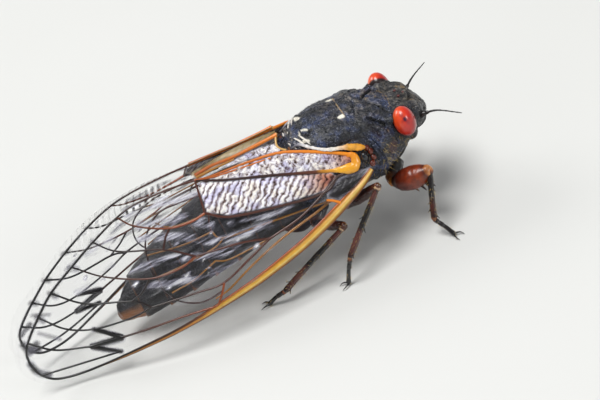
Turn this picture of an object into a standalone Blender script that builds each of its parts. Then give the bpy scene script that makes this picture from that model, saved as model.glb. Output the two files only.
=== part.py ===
# Periodical cicada at life size, standing on six legs with its wings folded like a roof.
# Metres, +Z up, head towards +X and its left side towards +Y. The origin is on the floor,
# below the middle of the whole model. Sizes in this script are millimetres unless a name
# says otherwise, measured from the middle of the back, where the collar meets the shield.

import math

import bmesh
import bpy
import numpy as np
from mathutils import Vector
from mathutils.geometry import delaunay_2d_cdt

METRES = 0.001
TO_MIDDLE = 12.32          # from the model's middle forward to the front of the shield
GAP = 0.3                  # between two pieces that meet
PARTING = 0.3              # width of the cuts across head, thorax and abdomen
SIDES = 32                 # points round the head and thorax
TAIL_SIDES = 24            # points round the abdomen

# Body stations, front to back: x, half width, top, bottom, squareness of the upper section
BODY = (
    (6.90, 0.90, 8.30, 7.60, 2.2),
    (6.50, 2.05, 8.95, 7.30, 2.8),
    (6.00, 2.60, 9.40, 7.00, 3.2),
    (5.20, 2.95, 9.75, 6.35, 3.2),
    (4.30, 3.15, 9.95, 5.60, 3.0),
    (3.30, 3.60, 10.50, 5.05, 2.6),
    (1.80, 4.10, 11.10, 4.50, 2.4),
    (0.90, 4.35, 11.30, 4.20, 2.4),
    (0.10, 4.10, 11.38, 4.05, 2.5),
    (-1.50, 3.80, 11.60, 3.95, 2.6),
    (-3.20, 3.55, 11.50, 3.90, 2.6),
    (-4.60, 3.20, 11.00, 3.90, 2.4),
    (-5.60, 3.05, 10.40, 3.90, 2.2),
    (-7.00, 3.20, 10.15, 3.75, 2.0),
    (-9.50, 3.40, 9.90, 3.40, 2.0),
    (-12.5, 3.35, 9.50, 2.95, 2.0),
    (-16.0, 3.00, 8.40, 2.35, 2.0),
    (-19.0, 2.50, 7.10, 1.85, 2.0),
    (-21.5, 1.85, 5.80, 1.60, 2.0),
    (-23.9, 0.55, 3.60, 1.90, 2.0),
)
HEAD = (6.90, 4.20)
PROTHORAX = (4.20, 0.20)
MESOTHORAX = (0.20, -5.05)
METATHORAX = (-5.05, -6.30)
ABDOMEN_START = -6.30
TAIL_START = -22.0
ABDOMEN_RINGS = 7
TAIL_END = -23.9
RING_FLARE = 0.14          # how far each ring's hind edge stands over the next ring
LOWER_SQUARENESS = 2.0
HEAD_BOW = -0.09           # the head's hind border curves back at the sides, per mm of width
COLLAR_BOW = 0.065         # the collar's hind border curves forward at the sides

EYE = dict(x=4.42, y=3.12, z=9.17, size=(0.98, 1.12, 1.30))
FACE = dict(x=5.62, z=7.60, size=(1.20, 1.50, 1.45))
OCELLI = ((5.60, 0.0, 9.50), (5.00, 0.55, 9.75), (5.00, -0.55, 9.75))
OCELLUS = 0.24
FEELER = dict(base=(6.05, 2.05, 8.20), rise=(7.3, 3.0, 8.50), tip=(8.95, 4.20, 7.95))
LEFT_FEELER_LIFT = 0.6     # the left feeler is held a little higher
FEELER_WIDTHS = (0.62, 0.52, 0.30, 0.16)
BEAK = dict(root=(4.7, 0.0, 6.6), bend=(3.4, 0.0, 4.4), tip=(0.6, 0.0, 3.4))
BEAK_WIDTHS = (1.5, 1.1, 0.5)

# Legs of one side: hip, trochanter, knee, ankle and foot, with y outwards
LEGS = dict(
    front=dict(hip=(2.5, 1.7, 4.9), trochanter=(1.35, 3.3, 4.35), knee=(4.5, 5.5, 5.25),
               ankle=(3.0, 7.0, 1.55), foot=(3.9, 8.3, 0.0), thigh=2.1),
    mid=dict(hip=(-1.5, 1.7, 4.6), trochanter=(-2.8, 3.0, 4.05), knee=(0.0, 6.0, 6.6),
             ankle=(-4.8, 7.6, 2.5), foot=(-5.8, 7.6, 0.0), thigh=1.0),
    hind=dict(hip=(-4.7, 1.6, 4.5), trochanter=(-6.0, 2.9, 3.95), knee=(-3.9, 6.0, 4.5),
              ankle=(-10.8, 5.8, 1.15), foot=(-12.4, 5.1, 0.0), thigh=1.0),
)
HIP_WIDTH = 1.5
SHANK_WIDTH = 0.58
TOE_WIDTH = 0.54
THIGH_SAG = 0.25           # how far the thick front thigh bows down
CLAW = dict(length=0.75, spread=0.38, width=0.26)
THIGH_SPINES = ((0.42, 0.55), (0.60, 0.75), (0.76, 1.00))   # place along the thigh, length

# A wing lies on a bowed roof side. A layout point is the distance behind the collar and the
# distance down the roof, and it is lifted off the flat roof by its crown and its twist.
RIDGE = Vector((0.0, -0.15, 12.49))
DOWN = Vector((0.0, -0.574, -0.819))
OUT = Vector((0.0, -0.819, 0.574))
ROOF_WIDTH = 10.4          # down the roof side, over which it bows
CROWN = (1.0, 0.0)         # bow of the roof side near the body and at the wing tip
WING_TWIST = 0.54
SPREAD = ((0.0, 0.0), (8.0, 0.0), (16.0, 0.6), (20.0, 0.55), (25.0, 0.0), (29.0, -0.4),
          (33.0, -0.1), (36.0, 0.0))   # the two wings stand apart along the ridge
WING = 0.5                 # thickness of the membrane
HINDWING_BELOW = 1.05      # depth of the hindwing under the forewing
VEIN_HEIGHT = 0.2
VEIN_STEP = 1.25
MARGIN_STEP = 1.1
CELL_STEP = 2.4

FORE_EDGES = (
    ((-0.5, 6.3), (2.4, 7.7), (5.9, 9.1), (10.2, 10.2), (14.3, 10.9), (17.3, 11.4), (21.0, 11.5),
     (24.8, 11.4), (28.4, 11.1), (31.3, 10.3), (33.0, 9.3), (33.6, 7.9), (33.1, 6.5),
     (31.4, 4.7), (28.9, 3.3), (24.1, 0.8), (20.1, -0.2), (16.8, -0.3), (13.1, 0.5)),
    ((13.1, 0.5), (10.2, 0.3), (8.0, 0.4), (5.5, 0.7)),
    ((5.5, 0.7), (5.6, 1.9)),
    ((5.6, 1.9), (3.1, 3.3), (0.6, 4.8), (-0.2, 5.5), (-0.5, 6.3)),
)
FORE_VEINS = (
    (0.85, ((-0.2, 6.3), (2.4, 7.4), (5.9, 8.75), (10.2, 9.85), (14.3, 10.55), (16.6, 10.95))),
    (0.50, ((16.6, 10.95), (21.0, 11.2), (24.8, 11.1), (28.4, 10.8), (31.3, 10.0))),
    (0.60, ((0.6, 5.1), (2.3, 4.0), (5.7, 2.2), (8.5, 1.6), (12.0, 1.2), (13.3, 0.9))),
    (0.50, ((0.9, 6.2), (3.1, 5.3), (7.6, 3.4), (11.1, 2.0), (13.3, 0.9))),
    (0.50, ((2.7, 6.0), (4.3, 6.7), (8.1, 6.0), (12.1, 4.9), (13.8, 3.7))),
    (0.45, ((13.8, 3.7), (13.5, 2.1), (13.3, 0.9))),
    (0.45, ((13.8, 3.7), (15.2, 3.8), (17.1, 3.4), (19.4, 2.0), (20.4, 0.9))),
    (0.50, ((4.3, 6.7), (7.0, 7.6), (10.0, 8.0))),
    (0.45, ((10.0, 8.0), (12.4, 7.2), (16.1, 6.5))),
    (0.45, ((16.1, 6.5), (18.2, 4.8), (21.6, 3.2), (23.1, 1.6))),
    (0.45, ((16.1, 6.5), (17.7, 6.8), (20.3, 6.4), (23.5, 4.6), (25.6, 2.7))),
    (0.50, ((10.0, 8.0), (12.2, 8.7), (15.0, 9.5), (17.5, 9.2), (21.2, 8.6))),
    (0.45, ((21.2, 8.6), (22.5, 7.4), (26.0, 5.8), (28.1, 4.0))),
    (0.45, ((21.2, 8.6), (23.3, 8.6), (26.4, 8.0), (28.5, 6.9), (30.0, 5.4))),
    (0.45, ((15.0, 9.5), (16.3, 11.0))),
    (0.45, ((16.3, 11.0), (19.1, 10.5), (22.2, 10.1), (24.6, 9.7))),
    (0.55, ((26.4, 8.0), (24.6, 9.7))),
    (0.55, ((24.6, 9.7), (27.3, 9.2))),
    (0.55, ((27.3, 9.2), (25.2, 10.7))),
    (0.45, ((25.2, 10.7), (27.6, 10.3), (31.4, 9.5))),
    (0.40, ((27.3, 9.2), (30.1, 8.1), (31.8, 6.8))),
    (0.45, ((17.0, 3.5), (18.2, 4.8))),
    (0.40, ((20.3, 6.4), (22.4, 7.4))),
    (0.45, ((13.3, 0.9), (16.2, 0.3), (19.5, 0.4), (23.2, 1.6), (25.6, 2.7), (28.1, 4.0),
            (30.0, 5.4), (31.8, 6.8), (32.6, 8.3), (31.4, 9.6))),
)
HIND_EDGES = (
    ((0.2, 6.7), (4.8, 8.0), (9.3, 8.8), (12.5, 9.6), (15.2, 10.4), (17.6, 10.4), (19.6, 9.0),
     (20.3, 6.6), (19.8, 4.0), (18.7, 2.4), (17.1, 1.6), (14.6, 1.7), (11.0, 2.2),
     (8.0, 3.0), (4.6, 4.6), (1.5, 5.9), (0.2, 6.7)),
)
HIND_VEINS = (
    (0.45, ((1.2, 6.7), (4.8, 7.6), (9.3, 8.4), (12.5, 9.2), (15.2, 10.0))),
    (0.40, ((2.5, 6.8), (5.5, 7.1), (9.3, 6.8), (13.3, 6.2), (14.0, 5.3))),
    (0.40, ((7.0, 7.5), (10.7, 8.0), (13.7, 8.0), (17.6, 8.4))),
    (0.40, ((13.3, 6.2), (16.0, 6.6), (19.0, 6.6))),
    (0.40, ((3.0, 5.9), (7.5, 4.6), (12.0, 3.9), (16.5, 3.5), (18.8, 3.4))),
)

COLOURS = {
    "shell": ((0.010, 0.011, 0.014), 0.32),
    "abdomen": ((0.008, 0.009, 0.009), 0.30),
    "eye": ((0.62, 0.035, 0.010), 0.15),
    "feeler": ((0.012, 0.010, 0.010), 0.35),
    "thigh": ((0.24, 0.028, 0.009), 0.25),
    "shank": ((0.075, 0.022, 0.014), 0.30),
    "forewing": ((0.60, 0.46, 0.26), 0.25),
    "hindwing": ((0.62, 0.55, 0.42), 0.25),
}


def clear_scene():
    for item in list(bpy.data.objects):
        bpy.data.objects.remove(item, do_unlink=True)


def shell_material(name):
    colour, roughness = COLOURS[name]
    material = bpy.data.materials.get(name) or bpy.data.materials.new(name)
    material.use_nodes = True
    shader = material.node_tree.nodes["Principled BSDF"]
    shader.inputs["Base Color"].default_value = (*colour, 1.0)
    shader.inputs["Roughness"].default_value = roughness
    shader.inputs["Metallic"].default_value = 0.0
    return material


def add_form(name, points, faces):
    # A closed form in millimetres from the front of the shield, as a Blender object in metres
    mesh = bpy.data.meshes.new(name)
    middle = Vector((TO_MIDDLE, 0.0, 0.0))
    mesh.from_pydata([(Vector(point) + middle) * METRES for point in points], [], faces)
    mesh.validate()
    form = bpy.data.objects.new(name, mesh)
    bpy.context.collection.objects.link(form)
    return form


def point_faces_out(form):
    work = bmesh.new()
    work.from_mesh(form.data)
    bmesh.ops.recalc_face_normals(work, faces=work.faces)
    if work.calc_volume(signed=True) < 0:
        bmesh.ops.reverse_faces(work, faces=work.faces)
    work.to_mesh(form.data)
    work.free()


def keep_largest(form):
    # Only the closed surface with the largest volume stays
    work = bmesh.new()
    work.from_mesh(form.data)
    unseen = set(work.faces)
    surfaces = []
    while unseen:
        surface = [unseen.pop()]
        for face in surface:
            for edge in face.edges:
                for other in edge.link_faces:
                    if other in unseen:
                        unseen.remove(other)
                        surface.append(other)
        surfaces.append(surface)

    def reach(surface):
        spots = np.array([vertex.co[:] for face in surface for vertex in face.verts])
        return float(np.prod(spots.max(axis=0) - spots.min(axis=0)))

    largest = max(surfaces, key=reach)
    drop = [face for surface in surfaces if surface is not largest for face in surface]
    bmesh.ops.delete(work, geom=drop, context="FACES")
    work.to_mesh(form.data)
    work.free()


def combine(form, others, operation):
    # Joins or cuts a form with others, which are then removed
    for other in others:
        modifier = form.modifiers.new(operation.lower(), "BOOLEAN")
        modifier.operation = operation
        modifier.object = other
        modifier.solver = "EXACT"
        bpy.context.view_layer.update()
        seen = form.evaluated_get(bpy.context.evaluated_depsgraph_get())
        mesh = bpy.data.meshes.new_from_object(seen)
        form.modifiers.clear()
        form.data = mesh
    for other in others:
        bpy.data.objects.remove(other, do_unlink=True)
    keep_largest(form)
    return form


def finish(form, material, parent, smooth_angle=50.0):
    form.data.materials.clear()
    form.data.materials.append(shell_material(material))
    form.data.shade_smooth()
    form.data.set_sharp_from_angle(angle=math.radians(smooth_angle))
    form.parent = parent
    return form


def smooth_line(points, step):
    # A smooth curve through the points, read at even steps with both ends kept
    spots = np.array(points, float)
    if len(spots) > 2:
        before = 2 * spots[0] - spots[1]
        after = 2 * spots[-1] - spots[-2]
        ends = np.vstack([before, spots, after])
        fine = []
        for a, b, c, d in zip(ends, ends[1:], ends[2:], ends[3:]):
            for t in np.linspace(0.0, 1.0, 12, endpoint=False):
                fine.append(0.5 * (2 * b + (c - a) * t + (2 * a - 5 * b + 4 * c - d) * t * t
                                   + (3 * b - a - 3 * c + d) * t ** 3))
        spots = np.vstack([fine, spots[-1:]])
    runs = np.concatenate([[0.0], np.cumsum(np.linalg.norm(np.diff(spots, axis=0), axis=1))])
    count = max(1, round(runs[-1] / step))
    places = np.linspace(0.0, runs[-1], count + 1)
    return np.column_stack([np.interp(places, runs, column) for column in spots.T])


def loft(rings):
    # A closed skin over rings of equal count, its two ends closed by fans
    count = len(rings[0])
    points = [tuple(point) for ring in rings for point in ring]
    faces = []
    for ring in range(len(rings) - 1):
        for n in range(count):
            m = (n + 1) % count
            low = ring * count
            faces.append((low + n, low + m, low + count + m, low + count + n))
    for ring in (0, len(rings) - 1):
        centre = len(points)
        points.append(tuple(np.mean(rings[ring], axis=0)))
        for n in range(count):
            m = (n + 1) % count
            faces.append((ring * count + n, ring * count + m, centre))
    return points, faces


def read_table(rows, x):
    # The values at x of a smooth curve through rows whose first value is their place
    table = np.array(rows)
    places = table[:, 0]
    slopes = np.gradient(table[:, 1:], places, axis=0)
    n = int(np.clip(np.searchsorted(places, x) - 1, 0, len(places) - 2))
    span = places[n + 1] - places[n]
    t = (x - places[n]) / span
    return (table[n, 1:] * (1 + 2 * t) * (1 - t) ** 2 + slopes[n] * span * t * (1 - t) ** 2
            + table[n + 1, 1:] * t * t * (3 - 2 * t) + slopes[n + 1] * span * t * t * (t - 1))


def border_bow(x):
    # The cuts are straight behind the shield, and curve with the collar and the head's border
    return float(np.interp(x, (MESOTHORAX[1], MESOTHORAX[0], PROTHORAX[0], HEAD[0]),
                           (0.0, COLLAR_BOW, HEAD_BOW, HEAD_BOW * 0.4)))


def body_ring(x, sides, grow=0.0):
    half_width, top, bottom, square = read_table(BODY[::-1], x)
    middle = (top + bottom) / 2
    ring = []
    for n in range(sides):
        angle = math.tau * (n + 0.5) / sides
        power = 2 / (square if angle < math.pi else LOWER_SQUARENESS)
        across = math.copysign(abs(math.cos(angle)) ** power, math.cos(angle))
        upward = math.copysign(abs(math.sin(angle)) ** power, math.sin(angle))
        y = (half_width + grow) * across
        z = middle + ((top - bottom) / 2 + grow) * upward
        ring.append((x + border_bow(x) * y * y, y, z))
    return ring


def body_piece(name, front, back, sides=SIDES, step=0.75, grow=0.0, flare=0.0):
    count = max(2, round((front - back) / step))
    rings = []
    for n in range(count + 1):
        share = n / count
        rings.append(body_ring(front + (back - front) * share, sides, grow + flare * share))
    return add_form(name, *loft(rings))


def ball(name, centre, size, around=20, levels=10):
    points = []
    for level in range(1, levels):
        tilt = math.pi * level / levels
        for n in range(around):
            turn = math.tau * n / around
            points.append((centre[0] + size[0] * math.sin(tilt) * math.cos(turn),
                           centre[1] + size[1] * math.sin(tilt) * math.sin(turn),
                           centre[2] + size[2] * math.cos(tilt)))
    top, bottom = len(points), len(points) + 1
    points.append((centre[0], centre[1], centre[2] + size[2]))
    points.append((centre[0], centre[1], centre[2] - size[2]))
    faces = []
    for n in range(around):
        m = (n + 1) % around
        faces.append((top, n, m))
        for level in range(levels - 2):
            low = level * around
            faces.append((low + n, low + around + n, low + around + m, low + m))
        last = (levels - 2) * around
        faces.append((bottom, last + m, last + n))
    return add_form(name, points, faces)


def rod(name, route, widths, sides=8, first_plane=None, last_plane=None):
    # A tapered round rod along a route. An end may lie in a plane, given by a point and normal.
    spots = [Vector(point) for point in route]
    axes = []
    for n in range(len(spots)):
        ahead = spots[min(n + 1, len(spots) - 1)] - spots[max(n - 1, 0)]
        axes.append(ahead.normalized())
    side = axes[0].orthogonal().normalized()
    rings = []
    for n, (spot, axis, width) in enumerate(zip(spots, axes, widths)):
        side = (side - axis * side.dot(axis)).normalized()
        other = axis.cross(side)
        plane = first_plane if n == 0 else last_plane if n == len(spots) - 1 else None
        ring = []
        for k in range(sides):
            turn = math.tau * k / sides
            point = spot + (side * math.cos(turn) + other * math.sin(turn)) * (width / 2)
            if plane:
                on_plane, normal = plane
                run = (spots[1] - spots[0]) if n == 0 else (spots[-1] - spots[-2])
                run.normalize()
                point = point + run * ((on_plane - point).dot(normal) / run.dot(normal))
            ring.append(tuple(point))
        rings.append(ring)
    return add_form(name, *loft(rings))


def trim_below_floor(form):
    work = bmesh.new()
    work.from_mesh(form.data)
    cut = bmesh.ops.bisect_plane(work, geom=work.verts[:] + work.edges[:] + work.faces[:],
                                 dist=1e-8, plane_co=(0, 0, 0), plane_no=(0, 0, 1),
                                 clear_inner=True)
    edges = [item for item in cut["geom_cut"] if isinstance(item, bmesh.types.BMEdge)]
    bmesh.ops.holes_fill(work, edges=edges)
    work.to_mesh(form.data)
    work.free()
    return form


def make_head(parent):
    head = body_piece("head", HEAD[0], HEAD[1] + PARTING / 2, step=0.5)
    point_faces_out(head)
    face = ball("face", (FACE["x"], 0.0, FACE["z"]), FACE["size"], around=24, levels=14)
    extras = [face]
    for spot in OCELLI:
        extras.append(ball("ocellus", spot, (OCELLUS,) * 3, around=8, levels=6))
    for extra in extras:
        point_faces_out(extra)
    combine(head, extras, "UNION")
    sockets = [eye_form("socket", side, GAP) for side in (1, -1)]
    combine(head, sockets, "DIFFERENCE")
    return finish(head, "shell", parent)


def eye_form(name, side, grow=0.0):
    centre = (EYE["x"], EYE["y"] * side, EYE["z"])
    form = ball(name, centre, [size + grow for size in EYE["size"]])
    point_faces_out(form)
    return form


def head_hull(grow):
    # The head and its face, grown by a gap, that cut what meets them
    hull = body_piece("head_hull", HEAD[0], HEAD[1], step=0.5, grow=grow)
    face = ball("face_hull", (FACE["x"], 0.0, FACE["z"]), [s + grow for s in FACE["size"]],
                around=24, levels=14)
    for form in (hull, face):
        point_faces_out(form)
    return combine(hull, [face], "UNION")


def make_feeler(side, parent):
    name = "antenna_left" if side > 0 else "antenna_right"
    lift = LEFT_FEELER_LIFT if side > 0 else 0.0
    route = []
    for share, key in ((0.0, "base"), (0.5, "rise"), (1.0, "tip")):
        x, y, z = FEELER[key]
        route.append((x, y * side, z + lift * share))
    line = smooth_line(route, 0.42)
    root = line[0] - (line[1] - line[0]) * 1.2
    line = np.vstack([root, line])
    shares = np.linspace(0.0, 1.0, len(line))
    widths = np.interp(shares, (0.0, 0.25, 0.4, 1.0), FEELER_WIDTHS)
    feeler = rod(name, line, widths)
    point_faces_out(feeler)
    combine(feeler, [head_hull(GAP)], "DIFFERENCE")
    return finish(feeler, "feeler", parent)


def make_beak(parent):
    line = smooth_line([BEAK["root"], BEAK["bend"], BEAK["tip"]], 0.6)
    widths = np.interp(np.linspace(0.0, 1.0, len(line)), (0.0, 0.35, 1.0), BEAK_WIDTHS)
    beak = rod("beak", line, widths, sides=10)
    point_faces_out(beak)
    chest = body_piece("chest_hull", PROTHORAX[0] + 0.4, MESOTHORAX[1], grow=GAP)
    point_faces_out(chest)
    combine(beak, [head_hull(GAP), chest], "DIFFERENCE")
    return finish(beak, "shell", parent)


def make_thorax(parent):
    cut = PARTING / 2
    prothorax = body_piece("prothorax", PROTHORAX[0] - cut, PROTHORAX[1] + cut, step=0.5)
    point_faces_out(prothorax)
    sockets = [eye_form("socket", side, GAP) for side in (1, -1)]
    combine(prothorax, sockets, "DIFFERENCE")
    mesothorax = body_piece("mesothorax", MESOTHORAX[0] - cut, MESOTHORAX[1] + cut)
    point_faces_out(mesothorax)
    combine(mesothorax, shield_cross(), "UNION")
    metathorax = body_piece("metathorax", METATHORAX[0] - cut, METATHORAX[1] + cut)
    point_faces_out(metathorax)
    for piece in (prothorax, mesothorax, metathorax):
        finish(piece, "shell", parent)


def shield_cross():
    # The raised cross at the hind end of the shield
    arms = []
    for side in (1, -1):
        route = [(-2.9, 1.5 * side, 11.25), (-3.7, 0.7 * side, 11.65), (-4.3, 0.0, 11.7),
                 (-4.75, -0.9 * side, 11.15)]
        arm = rod("cross_arm", smooth_line(route, 0.5), [0.55] * 6, sides=6)
        point_faces_out(arm)
        arms.append(arm)
    return arms


def make_abdomen(parent):
    cut = PARTING / 2
    places = np.linspace(ABDOMEN_START, TAIL_START, ABDOMEN_RINGS + 1)
    for n, (front, back) in enumerate(zip(places, places[1:]), start=1):
        ring = body_piece(f"abdomen_{n}", front - cut, back + cut, TAIL_SIDES, 1.1, 0.0,
                          RING_FLARE)
        point_faces_out(ring)
        finish(ring, "abdomen", parent)
    tail = body_piece("abdomen_tip", TAIL_START - cut, TAIL_END, TAIL_SIDES, 0.6)
    point_faces_out(tail)
    finish(tail, "abdomen", parent)


def make_eyes(parent):
    for side, name in ((1, "eye_left"), (-1, "eye_right")):
        finish(eye_form(name, side), "eye", parent)


def joint_planes(before, joint, after):
    # Two parallel planes half a gap before and after a joint, square to its mean direction
    normal = ((joint - before).normalized() + (after - joint).normalized()).normalized()
    return (joint - normal * GAP / 2, normal), (joint + normal * GAP / 2, normal)


def leg_section(name, start, end, widths, first_plane, last_plane, sides=8, sag=0.0):
    # Widths are given at even places along the section
    shares = np.linspace(0.0, 1.0, len(widths))
    route = [start.lerp(end, share) - Vector((0, 0, sag * math.sin(math.pi * share)))
             for share in shares]
    form = rod(name, route, widths, sides, first_plane, last_plane)
    point_faces_out(form)
    return form


def make_leg(pair, side, parent):
    leg = LEGS[pair]
    label = f"{pair}_{'left' if side > 0 else 'right'}"
    spots = {}
    for key in ("hip", "trochanter", "knee", "ankle", "foot"):
        x, y, z = leg[key]
        spots[key] = Vector((x, y * side, z))
    hip_end, thigh_start = joint_planes(spots["hip"], spots["trochanter"], spots["knee"])
    thigh_end, shank_start = joint_planes(spots["trochanter"], spots["knee"], spots["ankle"])
    shank_end, toe_start = joint_planes(spots["knee"], spots["ankle"], spots["foot"])

    coxa = leg_section(f"coxa_{label}", spots["hip"], spots["trochanter"],
                       (HIP_WIDTH, HIP_WIDTH, HIP_WIDTH * 0.75), None, hip_end)
    chest = body_piece("chest_hull", PROTHORAX[0] + 0.4, METATHORAX[1], grow=GAP)
    point_faces_out(chest)
    combine(coxa, [chest], "DIFFERENCE")
    finish(coxa, "shell", parent)

    thick = leg["thigh"]
    sag = THIGH_SAG if pair == "front" else 0.0
    widths = (0.75, 0.85 * thick, thick, thick, 0.8 * thick, 0.7)
    thigh = leg_section(f"femur_{label}", spots["trochanter"], spots["knee"], widths,
                        thigh_start, thigh_end, 10, sag)
    if pair == "front":
        combine(thigh, thigh_spines(spots), "UNION")
    finish(thigh, "thigh", parent)

    shank = leg_section(f"tibia_{label}", spots["knee"], spots["ankle"],
                        (0.62, SHANK_WIDTH, SHANK_WIDTH, SHANK_WIDTH, 0.62), shank_start, shank_end)
    finish(shank, "shank", parent)

    toe = leg_section(f"tarsus_{label}", spots["ankle"], spots["foot"],
                      (TOE_WIDTH, TOE_WIDTH, TOE_WIDTH, TOE_WIDTH), toe_start, None)
    combine(toe, claws(spots, side), "UNION")
    trim_below_floor(toe)
    keep_largest(toe)
    finish(toe, "shank", parent)


def thigh_spines(spots):
    # Spines under the thick front thigh, leaning towards the knee
    run = spots["knee"] - spots["trochanter"]
    forward = run.normalized()
    down = (Vector((0, 0, -1)) + forward * forward.z).normalized()
    half = LEGS["front"]["thigh"] / 2
    spines = []
    for share, length in THIGH_SPINES:
        root = spots["trochanter"] + run * share + down * half * 0.4
        tip = root + down * (half * 0.6 + length * 0.85) + forward * length * 0.5
        middle = root.lerp(tip, 0.5)
        spine = rod("spine", [root, middle, tip], (0.6, 0.45, 0.14), sides=6)
        point_faces_out(spine)
        spines.append(spine)
    return spines


def claws(spots, side):
    # Two hooked claws that spread from the end of the foot and rest on the floor
    forward = (spots["foot"] - spots["ankle"])
    forward.z = 0.0
    forward = forward.normalized() if forward.length > 0.2 else Vector((0, side, 0))
    across = Vector((-forward.y, forward.x, 0.0))
    hooks = []
    for way in (1, -1):
        root = spots["foot"] + Vector((0, 0, 0.22)) - forward * 0.1
        middle = root + forward * CLAW["length"] * 0.5 + across * way * CLAW["spread"] * 0.6
        tip = root + forward * CLAW["length"] + across * way * CLAW["spread"]
        middle.z = 0.30
        tip.z = 0.06
        width = CLAW["width"]
        hook = rod("claw", [root, middle, tip], (width, width, width * 0.4), sides=6)
        point_faces_out(hook)
        hooks.append(hook)
    return hooks


def roof_lift(behind, down):
    # How far the wing stands off its flat roof side
    twist = 0.04 - WING_TWIST * np.clip((behind - 8.0) / 25.0, 0.0, None) ** 1.45
    crown = np.interp(behind, (10.0, 33.0), CROWN)
    half = ROOF_WIDTH / 2
    spread = read_table(SPREAD, max(behind, 0.0))[0]
    return spread + down * twist + crown * (1.0 - ((down - half) / half) ** 2)


def roof_point(behind, down, depth):
    lift = float(roof_lift(behind, down)) - depth
    return RIDGE + Vector((-behind, 0.0, 0.0)) + DOWN * down + OUT * lift


def roof_normal(behind, down):
    ahead = roof_point(behind + 0.05, down, 0.0) - roof_point(behind - 0.05, down, 0.0)
    across = roof_point(behind, down + 0.05, 0.0) - roof_point(behind, down - 0.05, 0.0)
    normal = ahead.cross(across).normalized()
    return normal if normal.dot(OUT) > 0 else -normal


def distance_to_line(points, line):
    nearest = np.full(len(points), 1e9)
    for a, b in zip(line, line[1:]):
        run = b - a
        share = np.clip(((points - a) @ run) / max(run @ run, 1e-9), 0.0, 1.0)
        spots = a + share[:, None] * run
        nearest = np.minimum(nearest, np.linalg.norm(points - spots, axis=1))
    return nearest


def inside_outline(points, outline):
    inside = np.zeros(len(points), bool)
    for a, b in zip(outline, np.roll(outline, -1, axis=0)):
        crosses = (a[1] > points[:, 1]) != (b[1] > points[:, 1])
        slope = (b[0] - a[0]) / (b[1] - a[1] + 1e-12)
        inside ^= crosses & (points[:, 0] < a[0] + slope * (points[:, 1] - a[1]))
    return inside


def wing_layout(edges, veins):
    # Flat layout points: the outline, the vein centre lines, their flanks and the cells.
    # Each vein is also a chain of links between its own points.
    outline = np.vstack([smooth_line(edge, MARGIN_STEP)[:-1] for edge in edges])
    rim = np.vstack([outline, outline[:1]])
    lines = [(width, smooth_line(points, VEIN_STEP)) for width, points in veins]
    kept = list(outline)

    def take(points, clearance, margin):
        # Adds the points that stand clear, and gives each point's place in the list
        places = []
        inside = inside_outline(points, outline) & (distance_to_line(points, rim) > margin)
        for point in points[inside]:
            distances = np.linalg.norm(np.array(kept) - point, axis=1)
            if distances.min() > clearance:
                kept.append(point)
                places.append(len(kept) - 1)
            else:
                places.append(int(distances.argmin()))
        return places

    links = []
    for width, line in lines:
        places = take(line, 0.3, 0.12)
        links += [(a, b) for a, b in zip(places, places[1:]) if a != b]
    for width, line in lines:
        run = np.gradient(line, axis=0)
        run /= np.linalg.norm(run, axis=1)[:, None]
        across = np.column_stack([-run[:, 1], run[:, 0]])
        for way in (1, -1):
            flank = line + across * way * width / 2
            clear = np.ones(len(flank), bool)
            for other_width, other in lines:
                clear &= distance_to_line(flank, other) > other_width * 0.42
            take(flank[clear], 0.2, 0.15)
    low, high = outline.min(axis=0), outline.max(axis=0)
    across, along = np.meshgrid(np.arange(low[0], high[0], CELL_STEP),
                                np.arange(low[1], high[1], CELL_STEP))
    take(np.column_stack([across.ravel(), along.ravel()]), 1.0, 0.6)
    return np.array(kept), len(outline), links, lines


def make_wing(name, side, edges, veins, depth, vein_height):
    layout, rim_count, links, lines = wing_layout(edges, veins)
    rim = list(range(rim_count))
    flat, _, triangles, _, _, _ = delaunay_2d_cdt(
        [Vector(point) for point in layout], links, [rim], 1, 1e-6)
    spots = np.array([point[:] for point in flat])
    height = np.zeros(len(spots))
    for width, line in lines:
        share = distance_to_line(spots, line) / (width / 2)
        height = np.maximum(height, vein_height * np.clip(2.0 - 2.0 * share, 0.0, 1.0))
    height[:rim_count] = np.where(height[:rim_count] > 0.0, vein_height, 0.0)
    upper, lower = [], []
    for (behind, down), raised in zip(spots, height):
        centre = roof_point(behind, down, depth)
        normal = roof_normal(behind, down)
        upper.append(centre + normal * (WING / 2 + raised))
        lower.append(centre - normal * WING / 2)
    points = [(x, -y * side, z) for x, y, z in upper + lower]
    count = len(spots)
    sides = {(t[n], t[(n + 1) % 3]) for t in triangles for n in range(3)}
    faces = [tuple(triangle) for triangle in triangles]
    faces += [tuple(n + count for n in reversed(triangle)) for triangle in triangles]
    for a, b in sorted(sides):
        if (b, a) not in sides:
            faces.append((b, a, a + count))
            faces.append((b, a + count, b + count))
    wing = add_form(name, points, faces)
    point_faces_out(wing)
    return wing


def make_wings(parent):
    for side, label in ((1, "left"), (-1, "right")):
        forewing = make_wing(f"forewing_{label}", side, FORE_EDGES, FORE_VEINS, 0.0, VEIN_HEIGHT)
        combine(forewing, [thorax_hull()], "DIFFERENCE")
        finish(forewing, "forewing", parent, 30.0)
        hindwing = make_wing(f"hindwing_{label}", side, HIND_EDGES, HIND_VEINS, HINDWING_BELOW,
                             VEIN_HEIGHT * 0.75)
        combine(hindwing, [thorax_hull(), tail_hull()], "DIFFERENCE")
        finish(hindwing, "hindwing", parent, 30.0)


def thorax_hull():
    hull = body_piece("thorax_hull", PROTHORAX[0], METATHORAX[1], grow=GAP)
    point_faces_out(hull)
    return hull


def tail_hull():
    hull = body_piece("tail_hull", ABDOMEN_START + 0.5, TAIL_END, TAIL_SIDES, 1.1,
                      GAP + RING_FLARE)
    point_faces_out(hull)
    return hull


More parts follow.
